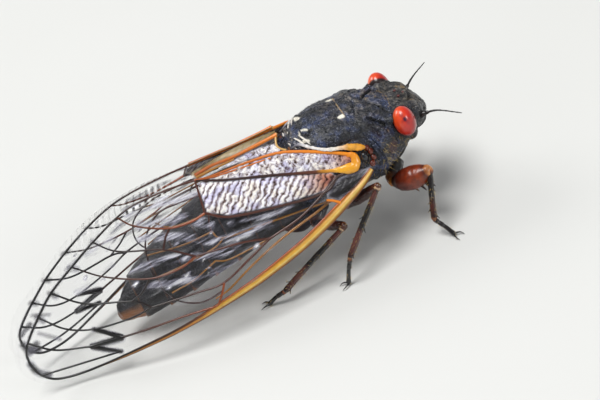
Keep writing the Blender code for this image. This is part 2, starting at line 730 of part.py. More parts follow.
def main():
    clear_scene()
    insect = bpy.data.objects.new("cicada", None)
    bpy.context.collection.objects.link(insect)
    make_head(insect)
    make_eyes(insect)
    make_thorax(insect)
    make_abdomen(insect)
    make_beak(insect)
    for side in (1, -1):
        make_feeler(side, insect)
        for pair in LEGS:
            make_leg(pair, side, insect)
    make_wings(insect)


main()
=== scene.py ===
import math
from functools import partial

import bmesh
import bpy
import numpy as np
from mathutils import Matrix, Vector
from mathutils.geometry import delaunay_2d_cdt


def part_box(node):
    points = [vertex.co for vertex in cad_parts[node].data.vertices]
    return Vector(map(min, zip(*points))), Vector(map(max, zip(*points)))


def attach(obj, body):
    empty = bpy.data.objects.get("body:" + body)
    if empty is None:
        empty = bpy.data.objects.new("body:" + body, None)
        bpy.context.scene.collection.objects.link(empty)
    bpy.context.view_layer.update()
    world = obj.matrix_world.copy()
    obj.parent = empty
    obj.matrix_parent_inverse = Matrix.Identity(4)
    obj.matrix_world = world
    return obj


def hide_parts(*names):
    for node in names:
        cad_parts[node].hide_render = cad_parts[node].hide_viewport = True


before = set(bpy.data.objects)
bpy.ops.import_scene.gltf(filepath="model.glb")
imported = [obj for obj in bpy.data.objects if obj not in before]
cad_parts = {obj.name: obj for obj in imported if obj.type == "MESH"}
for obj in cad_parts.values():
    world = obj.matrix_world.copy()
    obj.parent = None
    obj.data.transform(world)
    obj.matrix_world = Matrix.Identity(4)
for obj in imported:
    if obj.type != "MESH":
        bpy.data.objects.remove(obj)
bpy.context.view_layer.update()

mm = 0.001
# Everything is shaped in millimetres, measured from the front of the shield as the solids are,
# and is brought to the frame's own place when it becomes a mesh
tailEnd = -23.9
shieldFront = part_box("abdomen_tip")[0][0] / mm - tailEnd
sides = {"left": 1, "right": -1}


def colour(code):  # an sRGB hex value, made linear
    values = [int(code[n:n + 2], 16) / 255 for n in (1, 3, 5)]
    linear = [v / 12.92 if v <= 0.04045 else ((v + 0.055) / 1.055) ** 2.4 for v in values]
    return (*linear, 1.0)


def setInputs(tree, pairs):  # a node stands for its first output, and a hex code for its colour
    for socket, value in pairs:
        if isinstance(value, bpy.types.Node):
            value = next(output for output in value.outputs if output.enabled)
        if isinstance(value, bpy.types.NodeSocket):
            tree.links.new(value, socket)
        else:
            socket.default_value = colour(value) if str(value).startswith("#") else value


def addNode(tree, kind, inputs=(), **settings):
    # A node with its settings and links. Shader nodes are named without their prefix, and inputs
    # are given by name, or in the order of the node's own sockets.
    whole = kind.startswith(("Geometry", "Function", "NodeGroup"))
    node = tree.nodes.new(kind if whole else "ShaderNode" + kind)
    stops = settings.pop("stops", ())
    for key, value in settings.items():
        setattr(node, key, value)
    while stops and len(node.color_ramp.elements) < len(stops):
        node.color_ramp.elements.new(0.5)
    for n, (place, code) in enumerate(stops):
        node.color_ramp.elements[n].position = place
        node.color_ramp.elements[n].color = \
            colour(code) if isinstance(code, str) else (code, code, code, 1.0)
    if isinstance(inputs, dict):
        setInputs(tree, [(node.inputs[key], value) for key, value in inputs.items()])
    else:
        setInputs(tree, zip([socket for socket in node.inputs if socket.enabled], inputs))
    return node


def newMaterial(name):  # with its adding function, and object coordinates in millimetres
    material = bpy.data.materials.new(name)
    material.use_nodes = True
    add = partial(addNode, material.node_tree)
    spot = add("Mapping", {"Vector": add("TexCoord").outputs["Object"], "Scale": (1 / mm,) * 3})
    return material, add, spot


multiply = {"data_type": "RGBA", "blend_type": "MULTIPLY"}


def readMarks(add, name):  # the three values that a piece carries in one attribute
    return add("SeparateXYZ", (add("Attribute", attribute_name=name).outputs["Vector"],)).outputs


def setShader(material, **values):  # links, or plain values on the shader's own sockets
    names = {"base": "Base Color", "rough": "Roughness", "alpha": "Alpha", "normal": "Normal",
             "coat": "Coat Weight", "coatRough": "Coat Roughness",
             "subsurface": "Subsurface Weight", "specular": "Specular IOR Level"}
    shader = material.node_tree.nodes["Principled BSDF"]
    setInputs(material.node_tree, [(shader.inputs[names[key]], values[key]) for key in values])
    return material


# Curves, surfaces and meshes

def smoothLine(points, step):  # a smooth curve through the points, read at even steps
    spots = np.array(points, float)
    if len(spots) > 2:
        ends = np.vstack([2 * spots[0] - spots[1], spots, 2 * spots[-1] - spots[-2]])
        fine = []
        for a, b, c, d in zip(ends, ends[1:], ends[2:], ends[3:]):
            for t in np.linspace(0.0, 1.0, 12, endpoint=False):
                fine.append(0.5 * (2 * b + (c - a) * t + (2 * a - 5 * b + 4 * c - d) * t * t
                                   + (3 * b - a - 3 * c + d) * t ** 3))
        spots = np.vstack([fine, spots[-1:]])
    runs = np.concatenate([[0.0], np.cumsum(np.linalg.norm(np.diff(spots, axis=0), axis=1))])
    places = np.linspace(0.0, runs[-1], max(1, round(runs[-1] / step)) + 1)
    return np.column_stack([np.interp(places, runs, column) for column in spots.T])


def readRows(rows, places):  # smooth values at places, from rows that begin with their place
    table = np.array(sorted(rows))
    knots = table[:, 0]
    slopes = np.gradient(table[:, 1:], knots, axis=0)
    places = np.asarray(places, float)
    n = np.clip(np.searchsorted(knots, places) - 1, 0, len(knots) - 2)
    span = (knots[n + 1] - knots[n])[..., None]
    t = (places[..., None] - knots[n][..., None]) / span
    return (table[n, 1:] * (1 + 2 * t) * (1 - t) ** 2 + slopes[n] * span * t * (1 - t) ** 2
            + table[n + 1, 1:] * t * t * (3 - 2 * t) + slopes[n + 1] * span * t * t * (t - 1))


def lineDistance(points, line):
    nearest = np.full(points.shape[:-1], 1e9)
    line = np.asarray(line, float)
    for a, b in zip(line, line[1:]):
        run = b - a
        share = np.clip(((points - a) @ run) / max(run @ run, 1e-9), 0.0, 1.0)
        nearest = np.minimum(nearest, np.linalg.norm(points - a - share[..., None] * run, axis=-1))
    return nearest


def insideLoop(points, loop):
    inside = np.zeros(len(points), bool)
    for a, b in zip(loop, np.roll(loop, -1, axis=0)):
        crosses = (a[1] > points[:, 1]) != (b[1] > points[:, 1])
        slope = (b[0] - a[0]) / (b[1] - a[1] + 1e-12)
        inside ^= crosses & (points[:, 0] < a[0] + slope * (points[:, 1] - a[1]))
    return inside


def lumps(points, size, seed):  # smooth random values from -1 to 1, about one lump for each size
    scaled = np.asarray(points, float) / size
    cell = np.floor(scaled)
    part = scaled - cell
    part = part * part * (3 - 2 * part)
    total = np.zeros(scaled.shape[:-1])
    weights = np.array([12.9898, 78.233, 37.719][:scaled.shape[-1]])
    for corner in range(2 ** scaled.shape[-1]):
        offset = np.array([(corner >> k) & 1 for k in range(scaled.shape[-1])])
        value = np.sin((cell + offset) @ weights + seed * 3.17) * 43758.5453
        share = np.prod(np.where(offset, part, 1 - part), axis=-1)
        total += share * (value - np.floor(value))
    return total * 2 - 1


def gridNormals(grid):  # outward, on rings that run backwards and turn from the left over the top
    along = np.gradient(grid, axis=0)
    around = np.roll(grid, -1, axis=1) - np.roll(grid, 1, axis=1)
    normals = np.cross(along, around)
    return normals / np.maximum(np.linalg.norm(normals, axis=-1, keepdims=True), 1e-9)


def ringFaces(rings, around):  # faces over rings, with both ends closed on two added points
    faces = []
    for ring in range(rings - 1):
        low = ring * around
        for n in range(around):
            m = (n + 1) % around
            faces.append((low + n, low + m, low + around + m, low + around + n))
    last = (rings - 1) * around
    for n in range(around):
        m = (n + 1) % around
        faces.append((m, n, rings * around))
        faces.append((last + n, last + m, rings * around + 1))
    return faces


def closeRings(values):  # the points or attribute values of rings, with the two end points added
    values = np.asarray(values, float)
    flat = values.reshape(-1, values.shape[-1])
    return np.vstack([flat, values[0].mean(axis=0), values[-1].mean(axis=0)])


def ringForm(grid, **marks):  # points, faces and attributes of closed rings
    points = closeRings(grid)
    marks = {key: closeRings(values) if values.ndim == 3 else values
             for key, values in marks.items()}
    return points, ringFaces(*grid.shape[:2]), marks or {"along": np.linspace(0, 1, len(points))}


def addPiece(name, forms, material, nodes=(), flip=1):  # one piece from one or more forms
    points, faces, marks, start = [], [], {}, 0
    for formPoints, formFaces, formMarks in forms:
        points.append(formPoints)
        faces += [tuple(int(n) + start for n in face) for face in formFaces]
        start += len(formPoints)
        for label, values in formMarks.items():
            marks.setdefault(label, []).append(values)
    mesh = bpy.data.meshes.new(name)
    spots = (np.vstack(points) * (1.0, flip, 1.0) + (shieldFront, 0.0, 0.0)) * mm
    mesh.from_pydata(spots.tolist(), [], faces)
    for label, parts in marks.items():
        values = np.concatenate(parts)
        kind, key = ("FLOAT", "value") if values.ndim == 1 else ("FLOAT_VECTOR", "vector")
        mesh.attributes.new(label, kind, "POINT").data.foreach_set(key, values.ravel())
    mesh.materials.append(material)
    work = bmesh.new()
    work.from_mesh(mesh)
    bmesh.ops.recalc_face_normals(work, faces=work.faces)
    if work.calc_volume(signed=True) < 0:
        bmesh.ops.reverse_faces(work, faces=work.faces)
    work.to_mesh(mesh)
    work.free()
    mesh.shade_smooth()
    declare(name, mesh, nodes)


def addObject(name, data):
    item = bpy.data.objects.new(name, data)
    bpy.context.collection.objects.link(item)
    return item


def declare(name, mesh, nodes=()):
    piece = addObject(name, mesh)
    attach(piece, "root")
    if nodes:
        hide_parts(*nodes)
    return piece


def globe(centre, size, around=24, levels=14):
    tilts = np.linspace(0.0, math.pi, levels + 1)[1:-1]
    turns = np.linspace(0.0, math.tau, around, endpoint=False)
    grid = np.stack([np.sin(tilts)[:, None] * np.cos(turns), np.sin(tilts)[:, None]
                     * np.sin(turns), np.cos(tilts)[:, None] * np.ones(around)], axis=-1)
    return grid * np.asarray(size, float) + np.asarray(centre, float)


def tube(route, widths, around, flatten=1.0, upward=(0.0, 0.0, 1.0)):
    # Rings along a route with rounded ends. widths are full widths, flatten is height over width.
    run = np.gradient(route, axis=0)
    run /= np.linalg.norm(run, axis=1)[:, None]
    across = np.cross(run, np.asarray(upward, float))
    across /= np.maximum(np.linalg.norm(across, axis=1), 1e-6)[:, None]
    lift = np.cross(across, run)
    turns = np.linspace(0.0, math.tau, around, endpoint=False)
    half = widths[:, None, None] / 2
    grid = (route[:, None, :] + half * np.cos(turns)[None, :, None] * across[:, None, :]
            + half * flatten * np.sin(turns)[None, :, None] * lift[:, None, :])
    first = route[0] + (grid[0] - route[0]) * 0.55 - run[0] * widths[0] * 0.22
    last = route[-1] + (grid[-1] - route[-1]) * 0.55 + run[-1] * widths[-1] * 0.22
    return np.concatenate([first[None], grid, last[None]])


def alongRings(grid):  # the share of the way along for each ring's points and the two ends
    return np.append(np.repeat(np.linspace(0, 1, grid.shape[0]), grid.shape[1]), [0.0, 1.0])


# Materials. Noise takes a place, scale, detail and roughness, and a range takes a value, the two
# ends that it comes from and the two that it goes to.

def waxyShell(name, dark, bloomAndSheen, dusty, glintColour, roughness):
    # Insect cuticle, black and hard, with a bluish bloom of wax that is partly a painted sheen, dust,
    # painted glints on its pits and painted shade in its grooves
    material, add, spot = newMaterial(name)
    broad = add("TexNoise", (spot, 0.7, 5.0, 0.65))
    fine = add("TexNoise", (spot, 2.6, 9.0, 0.75))
    grain = add("TexVoronoi", {"Vector": spot, "Scale": 7.0,
        "Randomness": 1.0})  # real pits are 0.1 mm apart, drawn at 0.14 mm to show
    marks, tone = readMarks(add, "marks"), readMarks(add, "tone")
    # the two bloom tones are partly the wax's own bluish tone and partly a painted bluish sheen
    skin = add("ValToRGB", (broad,), stops=((0.34, dark), (0.5, bloomAndSheen[0]), (0.66, bloomAndSheen[1])))
    streak = add("ValToRGB", (fine,), stops=((0.42, 0.06), (0.6, 1.0)))
    skin = add("Mix", (0.85, skin, streak), **multiply)
    broken = add("MapRange", (fine, 0.5, 0.62, 0.0, 0.85))
    dust = add("Math", (tone["X"], broken), operation="MULTIPLY")
    # painted glints: pale bluish dots on the pits stand in for the light they catch
    dots = add("MapRange", (grain, 0.24, 0.08, 0.0, 0.85))
    sparse = add("MapRange", (broad, 0.4, 0.56))
    paintedGlints = add("Math", (dots, sparse), operation="MULTIPLY")
    # tone Y, the stain listed as pits, is painted shade, near black, in the grooves and pits
    for share, code in ((dust, dusty), (paintedGlints, glintColour), (tone["Y"], "#020203"),
                        (tone["Z"], "#4A1C0C"), (marks["Y"], "#A58A62"),
                        (marks["Z"], "#9A5C22"), (marks["X"], "#F2ECDC")):
        skin = add("Mix", (share, skin, code), data_type="RGBA")
    rough = add("MapRange", (fine, 0.35, 0.65, *roughness))
    pits = add("Bump", {"Strength": 0.6, "Distance": 0.06 * mm, "Height": grain})
    bump = add("Bump", {"Strength": 0.9, "Distance": 0.16 * mm, "Height": fine, "Normal": pits})
    return setShader(material, base=skin, rough=rough, normal=bump, coat=0.16, coatRough=0.2,
                     specular=0.5)


def lensRed(name):
    # A compound eye: thousands of clear lenses over red pigment, so glossy with a fine grain
    material, add, spot = newMaterial(name)
    facets = add("TexVoronoi", {"Vector": spot, "Scale": 11.0,
        "Randomness": 0.25})  # real lenses are 0.03 mm wide, drawn at 0.09 mm to show
    cloud = add("TexNoise", (spot, 0.9, 3.0))
    tone = readMarks(add, "tone")
    # tone X carries painted light and shade: oranger on top and at the back, deeper red low and at the
    # front
    red = add("ValToRGB", (tone["X"],), stops=((0.0, "#7A0A0A"), (0.35, "#A8120C"),
        (0.6, "#CC2610"), (0.82, "#E04816"), (1.0, "#EE6E26")))
    shade = add("MapRange", (cloud, 0.45, 0.75, 0.0, 0.35))
    # tone Y is the painted pseudopupil, and tone Z is painted shade where the eye meets the head
    for share, code in ((shade, "#8E120C"), (tone["Y"], "#3A1030"), (tone["Z"], "#1A0605")):
        red = add("Mix", (share, red, code), data_type="RGBA")
    bump = add("Bump", {"Strength": 0.22, "Distance": 0.02 * mm, "Height": facets})
    return setShader(material, base=red, rough=0.3, normal=bump, coat=0.5, coatRough=0.16)


def hornShell(name, stops, roughness=0.28, mottle=0.5, varnish=0.35):
    # Amber-brown cuticle, smooth and glossy as horn, whose colour changes along the piece
    material, add, spot = newMaterial(name)
    along = add("Attribute", attribute_name="along")
    cloud = add("TexNoise", (spot, 2.2, 6.0, 0.65))
    shifted = add("MapRange", (cloud, 0.2, 0.8, -0.035, 0.035))
    place = add("Math", (along.outputs["Fac"], shifted), operation="ADD")
    base = add("ValToRGB", (place,), stops=stops)
    shade = add("ValToRGB", (cloud,), stops=((0.3, 0.35), (0.65, 1.0)))
    mixed = add("Mix", (mottle, base, shade), **multiply)
    bump = add("Bump", {"Strength": 0.35, "Distance": 0.03 * mm, "Height": cloud})
    return setShader(material, base=mixed, rough=roughness, normal=bump, coat=varnish,
                     coatRough=0.16)


def veinHorn(name, stops):
    # A vein is a hollow horn rib, glossy and round, golden near the body and black at the tip.
    # Its colour follows the distance behind the shield, 36 mm of it over the ramp.
    material, add, spot = newMaterial(name)
    cloud = add("TexNoise", (spot, 1.3, 5.0))
    behind = add("MapRange", (add("SeparateXYZ", (spot,)),
        shieldFront, shieldFront - 36.0, 0.0, 1.0))
    jitter = add("MapRange", (cloud, 0.0, 1.0, -0.03, 0.03))
    place = add("Math", (behind, jitter), operation="ADD")
    base = add("ValToRGB", (place,), stops=stops)
    bump = add("Bump", {"Strength": 0.3, "Distance": 0.02 * mm, "Height": cloud})
    return setShader(material, base=base, rough=0.3, normal=bump, coat=0.3, coatRough=0.2)


def bandHorn(name):
    # The leading rib of the wing: golden horn with burnt orange borders and a pale crest, which is a
    # painted highlight along its ridge
    material, add, spot = newMaterial(name)
    across = add("Attribute", attribute_name="across").outputs["Fac"]
    along = add("Attribute", attribute_name="along").outputs["Fac"]
    fibres = add("TexNoise", (spot, 1.6, 6.0, 0.7))
    # the pale yellow near the middle of the wide ramp is a painted highlight along the crest
    wide = add("ValToRGB", (across,), stops=((0.0, "#6A2408"), (0.1, "#C25E12"), (0.2, "#A8641A"),
        (0.3, "#C98E22"), (0.46, "#DDA832"), (0.6, "#F4D57E"), (0.7, "#E0AE3A"), (0.82, "#B87A1E"),
        (0.92, "#8A4A12"), (1.0, "#3A1808")))
    narrow = add("ValToRGB", (across,), stops=((0.0, "#2A1208"), (0.3, "#9A5014"), (0.6, "#D9922E"),
        (0.8, "#B0661C"), (1.0, "#2A120A")))
    thin = add("MapRange", (along, 0.55, 0.68))
    horn = add("Mix", (thin, wide, narrow), data_type="RGBA")
    burnt = add("ValToRGB", (along,), stops=((0.0, 1.0), (0.4, 0.95), (0.7, 0.75), (0.88, 0.5),
        (1.0, 0.05)))
    grain = add("ValToRGB", (fibres,), stops=((0.3, 0.62), (0.7, 1.0)))
    for share, over in ((1.0, burnt), (0.8, grain)):
        horn = add("Mix", (share, horn, over), **multiply)
    bump = add("Bump", {"Strength": 0.4, "Distance": 0.03 * mm, "Height": fibres})
    return setShader(material, base=horn, rough=0.36, normal=bump, coat=0.2, coatRough=0.25)


def creasedFilm(name):
    # Wing membrane: a clear film of dry cuticle, with painted white and lilac reflections as streaks
    # and glints, and creases that carry painted highlight and shade
    material, add, spot = newMaterial(name)
    plan = add("Attribute", attribute_name="plan").outputs["Vector"]  # mm over the wing
    blotted = add("Attribute", attribute_name="fold").outputs["Fac"]
    silver, sheen, smokeAndShade = (readMarks(add, "tone")[key] for key in "XYZ")
    rippleHighlightShade, strip, warmth = (readMarks(add, "marks")[key] for key in "XYZ")
    turned = add("Mapping", {"Vector": plan, "Rotation": (0.0, 0.0, 0.85)})
    folds = add("TexWave", {"Vector": turned, "Scale": 0.66, "Distortion": 6.5, "Detail": 3.0,
        "Detail Scale": 2.0, "Detail Roughness": 0.6}, bands_direction="X")
    blots = add("TexNoise", (plan, 2.5, 4.0, 0.65, 2.0, 0.9))
    blots = add("MapRange", (blots, 0.41, 0.63))
    crease = add("Mix", (blotted, folds.outputs["Fac"], blots))
    # the silver cells' own pale colour, with painted highlights on the fold crests and painted brown
    # shade in the gaps between folds
    pearlAndCreaseLight = add("ValToRGB", (crease,), stops=((0.0, "#3E2E26"), (0.12, "#84706A"), (0.3, "#BDB6BF"),
        (0.5, "#DAD6E0"), (0.75, "#F7F4F3"), (1.0, "#FFFFFF")))
    patches = add("TexNoise", (plan, 0.9, 3.0))
    tints = add("ValToRGB", (patches,), stops=((0.36, "#C4C0E6"), (0.5, "#FFFFFF"),
        (0.64, "#F4EBDA")))
    pearlAndCreaseLight = add("Mix", (0.7, pearlAndCreaseLight, tints), **multiply)
    # painted reflections: long streaks that run along the cells
    long = add("Mapping", {"Vector": plan, "Rotation": (0.0, 0.0, 0.35), "Scale": (0.28, 1.9, 1.0)})
    runs = add("TexNoise", (long, 1.0, 5.0, 0.6, 2.0, 0.5))
    glow = add("MapRange", (runs, 0.42, 0.6, 0.1, 1.0))
    milky = add("MapRange", (crease, 0.1, 0.7, 0.8, 0.97))
    glowing = add("Math", (sheen, glow), operation="MULTIPLY")
    silvery = add("Math", (silver, milky), operation="MULTIPLY")
    rippled = add("Math", (rippleHighlightShade,), operation="ABSOLUTE")
    cover = add("MapRange", (runs, 0.6, 0.78, 0.02, 0.12))  # elsewhere it is clear, with faint painted reflection streaks
    for part in (glowing, silvery, rippled, smokeAndShade, strip):
        cover = add("Math", (cover, part), operation="MAXIMUM")
    # lilac: the tint of the painted reflection streaks
    lilac = add("ValToRGB", (runs,), stops=((0.4, "#4A484E"), (0.5, "#9997A8"), (0.6, "#D2D1DC"),
        (0.72, "#FFFFFF")))
    # painted white cores of the strongest reflections
    bright = add("MapRange", (sheen, 0.72, 0.95, 0.0, 1.0))
    # painted highlight on the white ripple bars, and painted shade on the dark bars between them
    pale = add("Math", (rippleHighlightShade, 0.05), operation="GREATER_THAN")
    rippleShade = add("Math", (rippleHighlightShade, -0.05), operation="LESS_THAN")
    # dark film: the smoky stains near the tip, with the painted shade at the base and between the
    # ripple bars
    dark = add("Math", (smokeAndShade, rippleShade), operation="MAXIMUM")
    olive = add("ValToRGB", (runs,), stops=((0.3, "#6A5428"), (0.5, "#A08848"), (0.7, "#C9B078")))
    film = lilac
    for share, over, blend in ((bright, "#FFFFFF", "MIX"), (pale, "#F4F4F2", "MIX"),
                               (silver, pearlAndCreaseLight, "MIX"), (warmth, "#B4622E", "MULTIPLY"),
                               (dark, "#120E0B", "MIX"), (strip, olive, "MIX")):
        film = add("Mix", (share, film, over), data_type="RGBA", blend_type=blend)
    bump = add("Bump", {"Strength": 0.5, "Distance": 0.1 * mm, "Height": crease})
    return setShader(material, base=film, rough=0.32, alpha=cover, normal=bump, specular=0.3)


def softCord(name, stops):
    # Soft ribbed skin of a wing hinge, matt and pale
    material, add, spot = newMaterial(name)
    along = add("Attribute", attribute_name="along")
    ribs = add("TexNoise", (spot, 3.0, 5.0))
    base = add("ValToRGB", (along.outputs["Fac"],), stops=stops)
    shade = add("ValToRGB", (ribs,), stops=((0.35, 0.55), (0.6, 1.0)))
    mixed = add("Mix", (0.6, base, shade), **multiply)
    bump = add("Bump", {"Strength": 0.5, "Distance": 0.06 * mm, "Height": ribs})
    return setShader(material, base=mixed, rough=0.45, normal=bump, subsurface=0.05)


def cloudy(name, stops, scale, rough):
    # A plain matt surface, hair keratin or studio card, whose colour drifts between two tones
    material, add, spot = newMaterial(name)
    cloud = add("TexNoise", (spot, scale))
    return setShader(material, base=add("ValToRGB", (cloud,), stops=stops), rough=rough)


# Each shell takes a base dark, two bloom tones that are partly painted sheen, a dust tone and the
# colour of the painted glints on its pits
thoraxShell = waxyShell("waxyShell", "#020203", ("#141B30", "#3A4A76"), "#A09484", "#D4DCF0",
                        (0.16, 0.42))
headShellFinish = waxyShell("dustyShell", "#030304", ("#17181E", "#3A3D4A"), "#A09482", "#C0BAAE",
                             (0.2, 0.46))
ringShell = waxyShell("ringShell", "#050505", ("#0E0E0F", "#1A1A1D"), "#5A5246", "#3A3A3A",
                      (0.25, 0.45))
eyeLens = lensRed("compoundEyeLens")
beadRed = hornShell("ocellusBead", [(0.0, "#4E120C"), (1.0, "#74201A")], 0.18, 0.2)
thighHorn = hornShell("thighHorn", [(0.0, "#C98A4A"), (0.06, "#B8722E"), (0.1, "#2A0C06"),
    (0.2, "#4E180A"), (0.5, "#7A2A0E"), (0.82, "#8E3812"), (0.92, "#5A200E"), (0.97, "#B8703A"),
    (1.0, "#C98A55")], 0.33, 0.9, 0.15)
slimThighHorn = hornShell("slimThighHorn", [(0.0, "#8A5228"), (0.12, "#3A140C"), (0.5, "#4A1C12"),
    (0.86, "#3A1A14"), (0.94, "#5A2E20"), (1.0, "#8E5A3C")], 0.26, 0.7)
shankHorn = hornShell("shankHorn", [(0.0, "#4A2A1E"), (0.045, "#5A3424"), (0.06, "#D8B490"),
    (0.085, "#2A120E"), (0.12, "#5A3029"), (0.26, "#4A2620"), (0.32, "#14100F"), (0.58, "#1A1413"),
    (0.68, "#5E342C"), (0.9, "#4E2A24"), (1.0, "#1A100E")], 0.26, 0.6)
frontShankHorn = hornShell("frontShankHorn", [(0.0, "#C98A55"), (0.04, "#8A4A2A"), (0.1, "#1C1210"),
    (0.5, "#120E0D"), (0.72, "#4A1C10"), (0.92, "#2A120C"), (1.0, "#9A5A2A")], 0.26, 0.6)
footHorn = hornShell("footHorn", [(0.0, "#8A4A26"), (0.12, "#1C1210"), (0.45, "#15110F"),
    (0.6, "#1A1413"), (1.0, "#0A0808")], 0.24, 0.4)
bristleHorn = hornShell("bristleHorn", [(0.0, "#1A1412"), (1.0, "#060505")], 0.35, 0.3)
hipHorn = hornShell("hipHorn", [(0.0, "#0C0B0B"), (0.6, "#1A100C"), (1.0, "#8A4E22")], 0.3, 0.6)
goldBand = bandHorn("goldenRib")
darkVein = veinHorn("darkVein", [(0.0, "#3A2C2C"), (0.12, "#3E241C"), (0.36, "#4E2214"),
    (0.46, "#421D12"), (0.56, "#22120D"), (0.66, "#0E0C0B"), (1.0, "#0C0B0A")])
orangeVein = veinHorn("orangeVein", [(0.0, "#EC8E1C"), (0.15, "#DC7A18"), (0.3, "#B05A16"),
    (0.42, "#8A4016"), (0.54, "#5A2A14"), (0.7, "#1A100C"), (1.0, "#0E0C0A")])
yellowVein = veinHorn("yellowVein", [(0.0, "#EBA829"), (0.07, "#E09A26"), (0.12, "#5A2A14"),
    (0.2, "#30140E"), (1.0, "#20100C")])
honeyVein = veinHorn("honeyVein", [(0.0, "#B5782A"), (0.3, "#A06C28"), (1.0, "#5A3A18")])
creamVein = veinHorn("creamVein", [(0.0, "#C9A05E"), (1.0, "#B88A4A")])
foreFilm = creasedFilm("foreFilm")
hindFilm = creasedFilm("hindFilm")
cordSkin = softCord("hingeCord", [(0.0, "#E0951F"), (0.22, "#E5A030"), (0.4, "#EDE4D6"),
    (0.75, "#E6E2E0"), (0.88, "#8A8790"), (1.0, "#30303A")])
hingeHorn = hornShell("hingeHorn", [(0.0, "#4E1A0E"), (0.6, "#702C14"), (1.0, "#3A1209")], 0.25)
hingeBlack = hornShell("hingeBlack", [(0.0, "#0E1014"), (1.0, "#1A1E26")], 0.2)
plateYellow = hornShell("plateYellow", [(0.0, "#E9861C"), (0.35, "#F0A524"), (0.7, "#EFAE2E"),
    (1.0, "#E09A26")], 0.25, 0.3)
flapHorn = hornShell("flapHorn", [(0.0, "#140C08"), (0.6, "#241208"), (1.0, "#6A3A18")], 0.35)
goldHair = cloudy("goldHair", ((0.35, "#B08A3E"), (0.65, "#E8CE8A")), 2.5, 0.4)
greyHair = cloudy("greyHair", ((0.35, "#4A4A50"), (0.65, "#9A968E")), 2.5, 0.4)
print("materials ready")


# Body plates

bodyRows = (  # x, half width, top, bottom, squareness of the upper section
    (6.9, 0.9, 8.3, 7.6, 2.2), (6.5, 2.05, 8.95, 7.3, 2.8), (6.0, 2.6, 9.4, 7.0, 3.2),
    (5.2, 2.95, 9.75, 6.35, 3.2), (4.3, 3.15, 9.95, 5.6, 3.0), (3.3, 3.6, 10.5, 5.05, 2.6),
    (1.8, 4.1, 11.1, 4.5, 2.4), (0.9, 4.35, 11.3, 4.2, 2.4), (0.1, 4.1, 11.38, 4.05, 2.5),
    (-1.5, 3.8, 11.6, 3.95, 2.6), (-3.2, 3.55, 11.5, 3.9, 2.6), (-4.6, 3.2, 11.0, 3.9, 2.4),
    (-5.6, 3.05, 10.4, 3.9, 2.2), (-7.0, 3.2, 10.15, 3.75, 2.0), (-9.5, 3.4, 9.9, 3.4, 2.0),
    (-12.5, 3.35, 9.5, 2.95, 2.0), (-16., 3.0, 8.4, 2.35, 2.0), (-19., 2.5, 7.1, 1.85, 2.0),
    (-21.5, 1.85, 5.8, 1.6, 2.0), (-23.9, 0.55, 3.6, 1.9, 2.0))
borderBows = ((-5.05, 0.0), (0.2, 0.065), (4.2, -0.09), (6.9, -0.036))  # place, curve per mm


def bodySurface(stations, angles, grow):
    halfWidth, top, bottom, square = np.moveaxis(readRows(bodyRows, stations), -1, 0)
    power = 2 / np.where(np.sin(angles) > 0, square, 2.0)
    across = np.sign(np.cos(angles)) * np.abs(np.cos(angles)) ** power
    upward = np.sign(np.sin(angles)) * np.abs(np.sin(angles)) ** power
    y = np.maximum(halfWidth + grow, 0.02) * across
    z = (top + bottom) / 2 + np.maximum((top - bottom) / 2 + grow, 0.02) * upward
    places, curves = zip(*borderBows)
    return np.stack([stations + np.interp(stations, places, curves) * y * y, y, z], axis=-1)


def folded(points):  # features are given on the right side, and the left mirrors it
    return np.stack([points[..., 0], -np.abs(points[..., 1]), points[..., 2]], axis=-1)


def relief(grid, features):  # how far each point stands out, from the plate's own features
    spots = folded(grid)
    height = np.zeros(grid.shape[:-1])
    for line, width, rise in features.get("lines", ()):
        height += rise * np.exp(-(lineDistance(spots, line) / width) ** 2)
    for centre, radii, rise in features.get("swells", ()):
        away = np.linalg.norm((spots - centre) / radii, axis=-1)
        height += rise * np.exp(-away ** 2 * 1.5)
    for size, rise, seed in features.get("rough", ()):
        height += rise * lumps(grid, size, seed)
    return height


def stain(grid, entries):  # from 0 to 1, for lines (line, width) and spots (centre, radii)
    spots = folded(grid)
    wobble = lumps(grid, 0.22, 5) * 0.22 + lumps(grid, 0.6, 8) * 0.15
    total = np.zeros(grid.shape[:-1])
    for shape, size, strength in entries:
        if np.ndim(shape) == 2:
            away = lineDistance(spots, shape) / size + wobble
        else:
            away = np.linalg.norm((spots - shape) / size, axis=-1) + wobble
        total = np.maximum(total, strength * np.clip((1.15 - away) / 0.3, 0, 1))
    return total


def makePlate(name, plate, material, nodes):
    # A shell plate over the body, with rolled borders that tuck under and over its neighbours
    front, back = plate["from"], plate["to"]
    rows = [(front + dx, grow) for dx, grow in plate["frontLip"]]
    for share in np.arange(plate["rings"] + 1) / plate["rings"]:
        rows.append((front + (back - front) * share, plate.get("flare", 0.0) * share ** 2))
    rows += [(back + dx, grow) for dx, grow in plate["backLip"]]
    stations, grows = (np.array(column)[:, None] * np.ones(plate["around"])
                       for column in zip(*rows))
    angles = np.linspace(0.0, math.tau, plate["around"], endpoint=False)[None, :] \
        * np.ones((len(rows), 1))
    grid = bodySurface(stations, angles, grows)
    height = relief(grid, plate)
    if "extra" in plate:
        height = height + plate["extra"](grid)
    grid = grid + gridNormals(grid) * height[..., None]
    # tone holds dust, painted shade in grooves and pits (listed as pits), and the cuticle's own brown
    marks, tone = (np.stack([stain(grid, plate.get(key, ())) for key in keys], axis=-1)
                   for keys in (("pale", "tan", "gold"), ("dust", "pits", "brown")))
    if "bands" in plate:
        marks = plate["bands"](grid, stations, marks)
    addPiece(name, [ringForm(grid, marks=marks, tone=tone)], material, nodes)


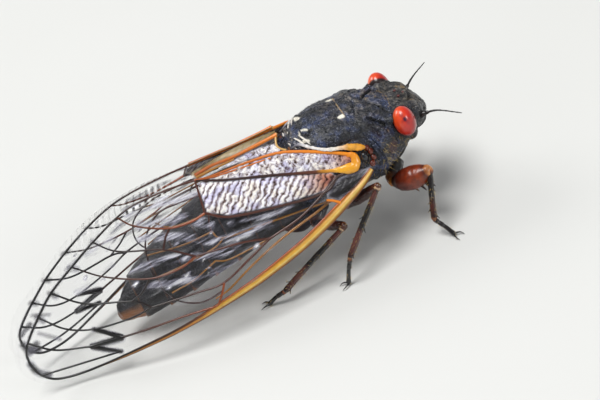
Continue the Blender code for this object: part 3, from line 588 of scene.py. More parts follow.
eye = {"centre": (4.42, -3.12, 9.14),
    "size": (0.93, 1.12, 1.36),
    # rim: where the painted shade on the eye's inner side begins
    "rim": -0.42,
    # pupils: painted dark pseudopupils, fixed on the side toward the camera, which in life move with
    # the viewer
    "pupils": (((-0.04, -0.82, 0.55), 0.24, 1.0), ((-0.16, -0.62, 0.86), 0.26, 0.45),
        ((0.1, -0.93, 0.34), 0.26, 0.4), ((0.34, -0.86, 0.5), 0.16, 0.4),
        ((-0.36, -0.86, 0.5), 0.16, 0.3))}


def eyeRim(grid):  # the head rises to a rim round each eye
    away = np.linalg.norm((folded(grid) - eye["centre"]) / eye["size"], axis=-1)
    return 0.18 * np.exp(-((away - 1.14) / 0.1) ** 2)


overLip = ((0.02, -0.07), (0.14, -0.16), (0.5, -0.5), (1.0, -1.4))  # a free hind border
underLip = ((0.55, -1.6), (0.4, -0.7), (0.3, -0.3), (0.18, -0.12))  # hidden under the one ahead

head = {"from": 6.9,
    "to": 4.12,
    "rings": 90,
    "around": 320,
    "extra": eyeRim,
    "frontLip": ((0.16, -0.45), (0.12, -0.22), (0.06, -0.08)),
    "backLip": overLip,
    "lines": ((((5.6, -1.85, 9.7), (5.0, -2.1, 9.85), (4.2, -2.3, 9.85)), 0.42, 0.46),
        (((5.1, -2.0, 9.8), (5.5, -1.4, 9.75), (5.85, -0.8, 9.5), (6.1, 0.0, 9.3)), 0.12, -0.26),
        (((4.2, 0.0, 10.0), (5.2, 0.0, 9.75)), 0.1, -0.12),
        (((4.5, -0.9, 9.95), (4.9, -1.3, 9.85), (5.3, -1.2, 9.7)), 0.12, -0.14),
        (((6.15, -2.35, 8.75), (6.45, -1.85, 8.85), (6.5, -1.3, 9.0), (6.3, -0.8, 9.15)), 0.12, 0.12),
        (((5.9, -2.7, 8.3), (6.3, -2.2, 8.2), (6.7, -1.4, 8.2)), 0.16, -0.2),
        (((5.5, -2.3, 9.3), (5.9, -2.0, 9.2), (6.2, -1.6, 9.1)), 0.1, -0.12),
        (((6.45, -0.55, 9.2), (6.75, -0.5, 8.6)), 0.12, -0.16)),
    "swells": (((5.25, 0.0, 9.8), (0.6, 0.85, 0.5), 0.12), ((6.0, -1.75, 9.1), (0.5, 0.55, 0.5), 0.2),
        ((4.6, -2.1, 9.9), (1.3, 0.6, 0.6), 0.16), ((3.95, -2.5, 9.5), (0.45, 0.5, 0.5), 0.26),
        ((6.45, -1.05, 8.95), (0.35, 0.35, 0.5), -0.16), ((4.6, -0.9, 9.95), (0.3, 0.4, 0.4), 0.1),
        ((5.6, -2.4, 6.9), (0.7, 0.6, 0.6), 0.1)),
    "rough": ((0.55, 0.05, 3), (0.26, 0.045, 4), (0.13, 0.02, 6)),
    "tan": ((((4.28, 0.0, 9.97), (3.98, -1.44, 9.95), (3.62, -2.32, 9.8)), 0.05, 0.75),
        (((6.25, -2.45, 8.6), (6.52, -1.9, 8.72), (6.58, -1.3, 8.95), (6.35, -0.8, 9.12)), 0.055, 0.8),
        (((6.35, -0.8, 9.12), (6.6, -0.7, 8.85)), 0.05, 0.7),
        (((5.5, -1.35, 9.6), (5.8, -1.0, 9.5)), 0.06, 0.55),
        ((5.95, -1.2, 9.35), (0.22, 0.2, 0.3), 0.4)),
    "dust": (((5.9, -0.9, 9.3), (0.8, 1.2, 0.7), 0.7), ((4.6, -0.9, 9.9), (0.7, 1.3, 0.5), 0.55),
        ((4.7, -2.0, 9.9), (0.7, 0.7, 0.5), 0.6), ((6.6, -0.8, 8.8), (0.35, 0.5, 0.35), 0.9))}
pronotum = {"from": 4.14,
    "to": 0.02,
    "rings": 130,
    "around": 320,
    "flare": 0.08,
    "frontLip": underLip,
    "backLip": overLip,
    "lines": ((((4.1, -2.3, 9.85), (3.7, -2.5, 9.75), (3.25, -2.75, 9.6)), 0.4, 0.5),
        (((2.15, 0.0, 11.0), (2.45, -0.35, 10.9), (3.0, -1.14, 10.55), (3.35, -1.7, 10.2),
            (3.56, -2.1, 9.85)), 0.1, -0.34),
        (((1.85, -2.45, 10.6), (2.05, -2.62, 10.45), (2.45, -2.84, 10.07), (2.75, -3.0, 9.6)), 0.15,
            -0.42),
        (((1.45, 0.0, 11.2), (1.1, -1.33, 11.2), (0.82, -2.6, 10.8), (0.85, -3.2, 10.4),
            (1.06, -3.69, 9.79), (1.5, -4.15, 8.9), (1.75, -4.3, 8.1)), 0.09, -0.18),
        (((0.28, 0.0, 11.4), (0.4, -1.5, 11.25), (0.3, -3.07, 10.55), (0.62, -3.8, 9.5),
            (1.2, -4.1, 8.3)), 0.14, 0.09),
        (((0.62, -1.8, 11.2), (0.5, -3.0, 10.6), (0.8, -3.75, 9.6), (1.3, -4.15, 8.7)), 0.05, -0.07),
        (((3.9, -1.6, 9.95), (3.3, -2.5, 9.7), (3.1, -3.1, 9.3)), 0.1, 0.12),
        (((2.5, -0.9, 10.9), (2.1, -1.7, 10.8), (2.6, -2.3, 10.4)), 0.09, -0.1),
        (((2.9, -1.9, 10.3), (2.3, -2.2, 10.6), (1.7, -2.0, 10.9)), 0.08, 0.1),
        (((3.4, -0.2, 10.5), (2.3, -0.5, 10.95), (1.6, -0.95, 11.1)), 0.13, 0.12),
        (((1.2, -3.0, 10.4), (1.9, -3.4, 9.9), (2.4, -3.5, 9.4)), 0.09, -0.12),
        (((1.9, -4.2, 8.0), (2.4, -4.0, 7.0), (2.4, -3.6, 6.2)), 0.2, -0.15)),
    "swells": (((3.3, -2.9, 9.5), (0.4, 0.5, 0.5), 0.12), ((2.3, -1.5, 10.8), (0.75, 0.8, 0.6), 0.16),
        ((1.5, -2.9, 10.4), (0.5, 0.7, 0.6), 0.1), ((2.4, -3.35, 9.3), (0.7, 0.5, 0.7), 0.16),
        ((3.6, -0.7, 10.3), (0.5, 0.6, 0.4), 0.1), ((1.9, -3.9, 8.9), (0.5, 0.4, 0.8), 0.1)),
    "rough": ((0.5, 0.035, 11), (0.24, 0.028, 12), (0.12, 0.016, 13)),
    "tan": ((((0.13, 0.0, 11.45), (0.16, -0.9, 11.4), (0.17, -1.5, 11.35)), 0.05, 0.9),
        (((0.17, -1.5, 11.35), (0.14, -3.07, 10.6), (0.42, -3.85, 9.5)), 0.05, 0.55),
        (((4.05, 0.0, 10.1), (3.85, -1.44, 9.98), (3.45, -2.35, 9.7), (3.2, -2.9, 9.3)), 0.05, 0.9),
        (((2.5, -0.15, 10.9), (2.2, -0.5, 11.0), (1.9, -0.6, 11.1)), 0.05, 0.5),
        (((3.9, 0.3, 10.2), (3.3, -0.05, 10.5), (2.9, -0.1, 10.7), (2.4, 0.1, 10.9)), 0.06, 0.6),
        (((2.6, -3.3, 9.5), (2.9, -3.4, 9.1)), 0.05, 0.5)),
    "dust": (((1.6, -1.0, 11.2), (1.2, 1.6, 0.7), 0.6), ((2.9, -0.4, 10.7), (1.0, 0.9, 0.6), 0.75),
        ((3.8, -2.5, 9.6), (0.4, 0.6, 0.5), 0.5), (((2.7, -1.9, 10.4), (2.2, -2.3, 10.6)), 0.25, 0.5),
        (((1.7, -3.0, 10.2), (2.3, -3.4, 9.7), (2.8, -3.5, 9.1)), 0.16, 0.5),
        (((0.35, -2.4, 10.9), (0.45, -3.4, 10.1), (0.8, -3.9, 9.2)), 0.16, 0.4)),
    # painted shade, near black, along the pronotum's grooves
    "pits": (((((2.3, -0.2, 10.95), (3.0, -1.14, 10.5), (3.5, -2.0, 9.9))), 0.15, 1.0),
        ((((1.95, -2.55, 10.4), (2.45, -2.84, 10.0), (2.7, -3.0, 9.6))), 0.22, 1.0),
        ((((0.78, -2.6, 10.85), (0.85, -3.2, 10.4), (1.1, -3.7, 9.8))), 0.06, 0.9)),
    "brown": (((2.9, -3.9, 7.6), (0.7, 0.6, 0.8), 0.6),)}
shield = {"from": 0.28,
    "to": -4.95,
    "rings": 130,
    "around": 300,
    "flare": -0.02,
    "frontLip": underLip,
    "backLip": overLip,
    "lines": ((((-3.2, -1.55, 11.3), (-3.7, -0.75, 11.45), (-4.1, -0.28, 11.35), (-4.45, -0.7, 11.1),
            (-4.85, -1.35, 10.8)), 0.19, 0.27),
        (((-3.95, 0.0, 11.3), (-4.3, 0.0, 11.2)), 0.24, 0.16),
        (((-3.6, -2.6, 10.7), (-4.1, -1.7, 10.95), (-4.6, -1.6, 10.8)), 0.13, -0.2),
        (((-3.35, 0.0, 11.5), (-3.75, 0.0, 11.45)), 0.16, -0.12),
        (((0.0, -0.55, 11.4), (-1.2, -0.95, 11.6), (-2.1, -1.35, 11.5)), 0.06, -0.035),
        (((0.0, -1.9, 11.2), (-1.3, -2.3, 11.2), (-2.6, -2.3, 11.0)), 0.06, -0.04),
        (((0.3, -3.5, 9.9), (-1.0, -3.45, 10.05), (-2.6, -3.15, 10.35), (-3.6, -2.6, 10.7)), 0.2,
            -0.12),
        (((-0.6, -3.9, 7.6), (-1.2, -3.7, 6.2), (-1.6, -3.0, 5.0)), 0.16, -0.14),
        (((-3.0, -3.6, 8.6), (-3.3, -3.4, 6.9), (-3.4, -2.9, 5.4)), 0.16, -0.14)),
    "swells": (((-2.9, -1.28, 11.45), (0.36, 0.32, 0.4), -0.17),
        ((-1.6, -2.9, 10.6), (1.6, 0.7, 0.8), 0.1), ((-1.8, -3.6, 7.0), (0.8, 0.5, 1.2), 0.12)),
    "rough": ((0.6, 0.035, 21), (0.24, 0.03, 22), (0.12, 0.018, 23)),
    "pale": (((-0.05, -1.5, 11.3), (0.42, 0.17, 0.6), 1.0),
        ((-3.3, -1.05, 11.4), (0.3, 0.26, 0.6), 1.0),
        (((-3.55, -0.85, 11.4), (-3.85, -1.0, 11.3)), 0.14, 0.9),
        (((-3.42, -2.0, 10.95), (-3.75, -1.75, 11.0)), 0.16, 0.9)),
    # painted shade, near black, in the shield's pit and grooves
    "pits": (((-2.9, -1.28, 11.4), (0.34, 0.26, 0.5), 1.0),
        (((-3.75, -2.45, 10.7), (-4.2, -1.65, 10.95), (-4.7, -1.6, 10.8)), 0.13, 1.0),
        (((-3.55, -0.45, 11.4), (-3.5, 0.0, 11.4)), 0.12, 0.8)),
    "dust": (((-0.4, -0.6, 11.4), (1.3, 1.4, 0.6), 0.35), ((-4.5, -0.6, 11.0), (0.5, 0.8, 0.5), 0.7)),
    "brown": (((-2.2, -3.5, 6.4), (1.6, 0.9, 1.3), 0.35),)}
hindThorax = {"from": -4.85,
    "to": -6.35,
    "rings": 24,
    "around": 200,
    "flare": 0.05,
    "frontLip": underLip,
    "backLip": overLip,
    "lines": ((((-5.6, 0.0, 10.6), (-5.6, -1.2, 10.4)), 0.16, 0.1),
        (((-5.2, -1.3, 10.5), (-5.9, -2.0, 10.0)), 0.12, -0.12)),
    "rough": ((0.5, 0.04, 31), (0.2, 0.025, 32)),
    "gold": ((((-6.3, 0.0, 10.3), (-6.3, -1.6, 9.9), (-6.3, -2.7, 8.6)), 0.1, 0.9),
        (((-5.15, -1.0, 10.6), (-5.25, -2.0, 10.2)), 0.12, 0.7))}
abdomen = {"start": -6.3, "tail": -22.0, "rings": 7, "around": 200, "flare": 0.16}


def ringBands(grid, stations, marks):  # a thin golden hind border, broad and orange on the belly
    back = stations[-len(overLip) - 1, 0]
    edge = stations - back
    under = np.clip((-0.5 - (grid[..., 2] - grid[..., 2].mean()) / 3.0) / 0.4, 0, 1)
    width = 0.09 + 0.45 * under + 0.05 * lumps(grid, 0.5, 4)
    marks[..., 2] = np.maximum(marks[..., 2], np.clip((width - edge) / 0.12, 0, 1)
                               * (0.4 + 0.5 * under))
    return marks


def tailBands(grid, stations, marks):  # the last piece is orange below, black along the top
    low = np.clip((grid[..., 2].mean(axis=1, keepdims=True) + 0.5 - grid[..., 2]) / 0.8, 0, 1)
    marks[..., 2] = np.clip(low * (1.0 + 0.7 * lumps(grid, 0.45, 3)), 0, 0.95)
    marks[..., 1] = np.clip(low * (0.2 + 0.5 * lumps(grid, 0.6, 9)), 0, 0.5)
    return marks


makePlate("head_shell", head, headShellFinish, ["head"])
makePlate("pronotum_shell", pronotum, thoraxShell, ["prothorax"])
makePlate("shield_shell", shield, thoraxShell, ["mesothorax"])
makePlate("hind_thorax_shell", hindThorax, thoraxShell, ["metathorax"])
ringEnds = np.linspace(abdomen["start"], abdomen["tail"], abdomen["rings"] + 1)
for number, (front, back) in enumerate(zip(ringEnds, ringEnds[1:]), start=1):
    ring = {"from": front, "to": back, "rings": 34, "around": abdomen["around"],
            "flare": abdomen["flare"], "frontLip": underLip, "backLip": overLip,
            "rough": ((0.45, 0.03, 40 + number), (0.16, 0.018, 50 + number)),
            "bands": ringBands}
    makePlate(f"abdomen_ring_{number}", ring, ringShell, [f"abdomen_{number}"])
tail = {"from": abdomen["tail"],
    "to": tailEnd,
    "rings": 30,
    "around": 160,
    "flare": 0.0,
    "frontLip": underLip,
    "backLip": ((-0.1, -0.14), (-0.18, -0.34), (-0.22, -0.6)),
    "lines": ((((-22.9, -1.5, 4.0), (-23.3, -0.6, 4.0), (-23.4, 0.0, 4.1)), 0.14, -0.16),
        (((-22.2, 0.0, 5.3), (-23.6, 0.0, 3.7)), 0.12, 0.1)),
    "rough": ((0.4, 0.05, 61), (0.15, 0.02, 62)),
    "bands": tailBands}
makePlate("abdomen_tip_shell", tail, ringShell, ["abdomen_tip"])
print("body plates made")


# Face, eyes, ocelli, feelers and beak

face = {"centre": (5.66, 0.0, 7.6),
    "size": (1.22, 1.5, 1.46),
    "ribs": 9,
    "ribHeight": 0.07,
    "lips": (((5.15, 0.0, 6.55), (0.75, 0.62, 0.85)), ((5.0, 0.85, 6.75), (0.6, 0.42, 0.8)),
        ((5.0, -0.85, 6.75), (0.6, 0.42, 0.8)), ((4.7, 1.7, 7.1), (0.7, 0.7, 0.9)),
        ((4.7, -1.7, 7.1), (0.7, 0.7, 0.9))),
    "ocelli": ((5.62, 0.0, 9.69), (5.12, 0.48, 9.87), (5.12, -0.48, 9.87)),
    "ocellus": (0.13, 0.12, 0.11)}


def makeFace():
    grid = globe(face["centre"], face["size"], 160, 110)
    away = (grid - face["centre"]) / face["size"]
    side = np.abs(away[..., 1])
    ribs = np.sin((away[..., 2] + 0.35 * side) * face["ribs"] * math.pi)
    ribs = ribs * np.clip((side - 0.12) / 0.2, 0, 1) * np.clip((0.9 - side) / 0.3, 0, 1)
    groove = -0.1 * np.exp(-(side / 0.1) ** 2) * np.clip(1.2 - np.abs(away[..., 2]), 0, 1)
    height = face["ribHeight"] * ribs + groove + 0.02 * lumps(grid, 0.2, 71)
    grid = grid + away / np.linalg.norm(away, axis=-1, keepdims=True) * height[..., None]
    marks, tone = np.zeros((2, *grid.shape))
    marks[..., 1] = np.clip((lumps(grid, 0.8, 73) - 0.4) * 1.5, 0, 0.6) * (away[..., 2] > 0.3)
    tone[..., 0] = np.clip(away[..., 2], 0, 1) * 0.8
    # painted shade, near black, in the grooves between the ribs
    tone[..., 1] = np.clip(-ribs, 0, 1) * 0.6
    addPiece("face_shell", [ringForm(grid, marks=marks, tone=tone)], headShellFinish)
    forms = []
    for centre, size in face["lips"]:
        part = globe(centre, size, 48, 30)
        part = part + (part - centre) * (0.04 * lumps(part, 0.3, 75))[..., None]
        forms.append(ringForm(part, marks=np.zeros(part.shape), tone=np.full(part.shape, 0.15)))
    addPiece("cheek_shell", forms, headShellFinish)


def makeEyes():
    for name, side in sides.items():
        centre = np.array(eye["centre"]) * (1, -side, 1)
        grid = globe(centre, eye["size"], 120, 80)
        away = (grid - centre) / eye["size"]
        tone = np.zeros(grid.shape)
        # painted light and shade: oranger towards the top and back, deeper red low and at the front,
        # with random change
        tone[..., 0] = 0.5 + 0.26 * away[..., 2] - 0.3 * away[..., 0] + 0.1 * lumps(grid, 0.5, 82)
        # painted pseudopupil: dark spots fixed on the side that faces the camera
        for spot, radius, strength in eye["pupils"]:
            look = np.array(spot) * (1, -side, 1)
            near = np.linalg.norm(away - look / np.linalg.norm(look), axis=-1)
            near = near + 0.03 * lumps(grid, 0.12, 81)
            tone[..., 1] = np.maximum(tone[..., 1], strength * np.clip((radius - near)
                                                                       / radius * 1.4, 0, 1))
        # painted shade, near black, on the eye's inner side and back, where it meets the head
        behind = 0.45 * np.clip(-away[..., 0], 0, 1)
        tone[..., 2] = np.clip((eye["rim"] + behind - away[..., 1] * side) / 0.12, 0, 1)
        addPiece(f"eye_globe_{name}", [ringForm(grid, tone=np.clip(tone, 0, 1))], eyeLens,
                 [f"eye_{name}"])
    addPiece("ocellus_beads", [ringForm(globe(spot, face["ocellus"], 28, 18))
                               for spot in face["ocelli"]], beadRed)


feeler = {"points": ((6.05, 2.05, 8.2), (7.3, 3.0, 8.5), (8.95, 4.2, 7.95)),
    "leftRise": (0.0, 0.05, 0.6),  # the left one is held a little higher
    "widths": ((0.0, 0.08, 0.12, 0.135, 0.2, 0.215, 0.24, 0.5, 1.0),
        (0.56, 0.52, 0.44, 0.3, 0.32, 0.19, 0.19, 0.13, 0.07)),
    "joints": (0.36, 0.5, 0.64, 0.78, 0.9),
    "jointSwell": 0.035}


def makeFeelers():
    for name, side in sides.items():
        rises = feeler["leftRise"] if side > 0 else (0.0, 0.0, 0.0)
        line = smoothLine([(x, y * side, z + rise) for (x, y, z), rise
                           in zip(feeler["points"], rises)], 0.06)
        length = np.linspace(0.0, 1.0, len(line))
        widths = np.interp(length, *feeler["widths"])
        for joint in feeler["joints"]:
            widths = widths + feeler["jointSwell"] * np.exp(-((length - joint) / 0.012) ** 2)
        grid = tube(line, widths, 20)
        addPiece(f"feeler_bristle_{name}", [ringForm(grid, along=alongRings(grid))],
                 bristleHorn, [f"antenna_{name}"])


beak = {"points": ((4.7, 0.0, 6.6), (3.4, 0.0, 4.4), (0.6, 0.0, 3.4)),
    "widths": ((0.0, 0.32, 0.35, 0.62, 0.65, 1.0), (1.35, 1.05, 0.9, 0.72, 0.6, 0.26))}


def makeBeak():
    line = smoothLine(beak["points"], 0.07)
    widths = np.interp(np.linspace(0.0, 1.0, len(line)), *beak["widths"])
    grid = tube(line, widths, 36, 0.85, (1.0, 0.0, 0.3))
    turns = np.linspace(0.0, math.tau, 36, endpoint=False)
    grid[..., 1] *= (1.0 - 0.12 * np.exp(-((turns - 1.5 * math.pi) / 0.25) ** 2))[None, :]
    addPiece("beak_sheath", [ringForm(grid, along=alongRings(grid))], hipHorn, ["beak"])


makeFace()
makeEyes()
makeFeelers()
makeBeak()
print("head made")


# Legs

legs = {  # hip, trochanter, knee, ankle and foot of one side, with y outwards, and the thigh
    "front": (((2.5, 1.7, 4.9), (1.35, 3.3, 4.35), (4.5, 5.5, 5.25), (3.0, 7.0, 1.55), (3.9, 8.3, 0.0)),
        2.1),
    "mid": (((-1.5, 1.7, 4.6), (-2.8, 3.0, 4.05), (0.0, 6.0, 6.6), (-4.8, 7.6, 2.5), (-5.8, 7.6, 0.0)),
        1.0),
    "hind": (((-4.7, 1.6, 4.5), (-6.0, 2.9, 3.95), (-3.9, 6.0, 4.5), (-10.8, 5.8, 1.15),
            (-12.4, 5.1, 0.0)), 1.0)}
limb = {"shank": 0.52,
    "toe": 0.36,
    "step": 0.09,
    "sag": 0.06,
    "frontSag": 0.25,
    "spines": ((0.42, 0.5), (0.58, 0.62), (0.72, 0.95), (0.83, 0.5)),  # place, length
    "spineWidth": 0.4,
    "bristles": 8,
    "frontBristles": 4,
    "bristleSize": (0.13, 0.34, 0.42),  # width, reach outwards and along
    "claw": 0.75,
    "clawSpread": 0.38,
    "clawWidth": 0.17}
limbWidths = {  # places along each part, and widths there
    "hip": ((0.0, 0.5, 0.86, 0.93, 1.0), (1.6, 1.45, 1.15, 0.8, 0.7)),
    "thickThigh": ((0.0, 0.08, 0.12, 0.3, 0.55, 0.8, 0.92, 1.0),
        (0.62, 0.6, 0.68, 0.9, 1.0, 0.83, 0.55, 0.42)),
    "slimThigh": ((0.0, 0.1, 0.14, 0.3, 0.6, 0.85, 0.95, 1.0),
        (0.66, 0.62, 0.72, 0.9, 0.95, 0.78, 0.64, 0.54)),
    "shank": ((0.0, 0.04, 0.09, 0.2, 0.6, 0.9, 0.97, 1.0),
        (1.02, 1.1, 0.84, 0.94, 0.98, 1.06, 1.02, 0.8)),
    "toe": ((0.0, 0.16, 0.19, 0.22, 0.4, 0.44, 0.47, 0.8, 0.95, 1.0),
        (1.15, 1.2, 0.8, 1.05, 1.15, 0.75, 0.95, 1.05, 1.2, 0.9))}


def limbForm(line, widths, around=28, flatten=1.0, rough=0.02, upward=(0.0, 0.0, 1.0), tone=None):
    grid = tube(line, widths, around, flatten, upward)
    normals = gridNormals(grid)
    middle = grid.mean(axis=1, keepdims=True)
    flip = np.sign(((grid - middle) * normals).sum(axis=-1, keepdims=True).mean())
    grid = grid + normals * flip * (rough * lumps(grid, 0.25, 91))[..., None]
    along = alongRings(grid)
    return ringForm(grid, along=along if tone is None else np.full(along.shape, tone))


def spike(root, tip, width, hook, around, tone, upward=(0.0, 0.0, 1.0)):  # a thin bent cone
    shares = np.linspace(0.0, 1.0, 9)[:, None]
    line = root + (tip - root) * shares + hook * np.sin(shares * math.pi)
    widths = width * (1 - shares[:, 0]) ** 0.75 + 0.02
    return limbForm(line, widths, around, 1.0, 0.0, upward, tone)


def widthsAlong(line, key, size=1.0):
    return size * np.interp(np.linspace(0, 1, len(line)), *limbWidths[key])


def makeLeg(pair, name, side):
    points, thick = legs[pair]
    hip, root, knee, ankle, foot = np.array(points) * (1, side, 1)
    step, label, front = limb["step"], f"{pair}_{name}", pair == "front"

    line = smoothLine([hip, hip * 0.4 + root * 0.6 + np.array((0, 0, -0.1)), root], step)
    addPiece(f"hip_{label}", [limbForm(line, widthsAlong(line, "hip"), 36, 0.9, 0.04)], hipHorn,
             [f"coxa_{label}"])

    run = knee - root
    forward = run / np.linalg.norm(run)
    down = np.array((0.0, 0.0, -1.0)) + forward * forward[2]
    down /= np.linalg.norm(down)
    sag = down * limb["frontSag" if front else "sag"]
    line = smoothLine([root, root + run * 0.33 + sag * 0.9, root + run * 0.68 + sag * 0.8,
                       knee - forward * 0.12], step)
    widths = widthsAlong(line, "thickThigh" if front else "slimThigh", thick)
    if front:
        widths[np.linspace(0, 1, len(line)) < 0.12] *= 0.62
    smooth = np.convolve(np.pad(widths, 3, mode="edge"), np.ones(7) / 7, mode="valid")
    forms = [limbForm(line, smooth, 40, 1.0, 0.03)]
    aside = down * 0.86 + np.array((0.0, side * 0.5, 0.0))
    for place, length in limb["spines"] if front else ():
        start = root + run * place + aside * thick * 0.3
        tip = start + aside * (thick * 0.2 + length * 0.9) + forward * length * 0.25
        forms.append(spike(start, tip, limb["spineWidth"], -forward * 0.06, 14, 0.1,
                           (0.3, 1.0, 0.2)))
    addPiece(f"thigh_{label}", forms, thighHorn if front else slimThighHorn,
             [f"femur_{label}"])

    run = ankle - knee
    bow = np.cross(run, (0, 0, 1.0))
    bow = bow / np.linalg.norm(bow) * 0.05
    line = smoothLine([knee, knee * 0.66 + ankle * 0.34 + bow, knee * 0.3 + ankle * 0.7 + bow,
                       ankle], step)
    forms = [limbForm(line, widthsAlong(line, "shank", limb["shank"]))]
    draw = np.random.default_rng(7 + len(label))
    axis = run / np.linalg.norm(run)
    count = limb["frontBristles" if front else "bristles"]
    width, outwards, onwards = limb["bristleSize"]
    for n in range(count):
        place = 0.4 + 0.56 * (n + 0.5) / count
        out = draw.normal(size=3)
        out -= axis * (out @ axis)
        out /= np.linalg.norm(out)
        start = knee * (1 - place) + ankle * place + out * limb["shank"] * 0.3
        tip = start + out * outwards + axis * onwards
        forms.append(spike(start, tip, width, axis * 0.03, 8, 0.34, axis))
    addPiece(f"shank_{label}", forms, frontShankHorn if front else shankHorn,
             [f"tibia_{label}"])

    last = foot + np.array((0, 0, limb["toe"] * 0.5 + 0.02))
    bend = ankle * 0.45 + last * 0.55 + np.array((0, 0, 0.12))
    line = smoothLine([ankle, bend, last], 0.05)
    forms = [limbForm(line, widthsAlong(line, "toe", limb["toe"]), 20, 1.0, 0.01)]
    ahead = (foot - ankle) * (1, 1, 0)
    ahead = ahead / np.linalg.norm(ahead) if np.linalg.norm(ahead) > 0.2 else np.array((0, side, 0))
    across = np.array((-ahead[1], ahead[0], 0.0))
    for way in (1, -1):
        start = last - ahead * 0.05 + across * way * 0.05
        tip = foot + ahead * limb["claw"] + across * way * limb["clawSpread"] \
            + np.array((0, 0, 0.05))
        hook = across * way * 0.1 + np.array((0, 0, 0.12))
        forms.append(spike(start, tip, limb["clawWidth"], hook, 12, 1.0))
    for points, faces, marks in forms:
        points[:, 2] = np.maximum(points[:, 2], 0.004)  # the sole is pressed flat on the floor
    addPiece(f"foot_{label}", forms, footHorn, [f"tarsus_{label}"])


for name, side in sides.items():
    for pair in legs:
        makeLeg(pair, name, side)
print("legs made")


# Wings

roof = {  # a wing lies on a bowed roof side: the ridge, the ways down it and out of it, its bow
    "ridge": (0.0, -0.15, 12.49),
    "down": (0.0, -0.574, -0.819),
    "out": (0.0, -0.819, 0.574),
    "width": 10.4,
    "crown": ((10.0, 33.0), (1.0, 0.0)),  # places along the wing, heights
    "twist": (0.04, 0.54, 8.0, 25.0),  # base value, growth, where it starts, its reach
    "spread": ((0.0, 0.0), (8.0, 0.0), (16.0, 0.6), (20.0, 0.55), (25.0, 0.0), (29.0, -0.4),
        (33.0, -0.1), (36.0, 0.0))}
wing = {"film": 0.05,
    "step": 0.125,
    "hindStep": 0.2,
    "hindDepth": 1.05,
    "veinSides": 12,
    "veinStep": 0.16,
    "veinFlare": (0.25, 0.22),  # how much wider a vein is at a joint, and over what length
    "fold": 0.62,
    "foldHeight": 0.035,
    "bulge": 0.13,
    "bulgeReach": 0.55,
    "rim": 0.25}
# A layout point is the distance behind the shield's front and the distance down the roof
foreEdges = (((-0.6, 6.5), (0.4, 7.5), (1.5, 8.15), (3.5, 8.95), (5.9, 9.75), (8.2, 10.35),
        (11.5, 10.95), (14.3, 11.3), (17.3, 11.55), (21.0, 11.55), (24.8, 11.4), (28.4, 11.15),
        (31.3, 10.7), (33.0, 9.5), (33.6, 7.9), (33.1, 6.5), (31.4, 4.7), (28.9, 3.3), (24.1, 0.8),
        (20.1, -0.2), (16.8, -0.3), (13.1, 0.2)),
    ((13.1, 0.2), (10.2, 0.0), (8.0, 0.02), (5.5, 0.25)), ((5.5, 0.25), (5.7, 1.2), (5.6, 1.9)),
    ((5.6, 1.9), (3.1, 3.3), (0.6, 4.8), (-0.2, 5.5), (-0.6, 6.5)))
claval = ((0.6, 5.1), (2.3, 4.0), (5.7, 2.2), (8.5, 1.6), (12.0, 1.2), (13.3, 0.9))
suture = ((0.9, 6.2), (3.1, 5.3), (7.6, 3.4), (11.1, 2.0), (13.3, 0.9))
cubitus = ((2.7, 6.0), (4.3, 6.7), (8.1, 6.0), (12.1, 4.9), (13.8, 3.7))
leading = ((-0.1, 6.75), (0.9, 7.3), (1.9, 7.72), (3.95, 8.5), (6.0, 9.2), (8.4, 9.85), (12.4, 10.62),
    (16.6, 11.1))
ambient = ((13.3, 0.9), (16.2, 0.5), (19.5, 0.5), (23.0, 1.55), (25.6, 2.6), (28.1, 3.7), (30.0, 5.0),
    (31.6, 6.3), (32.35, 7.2), (32.55, 8.2))
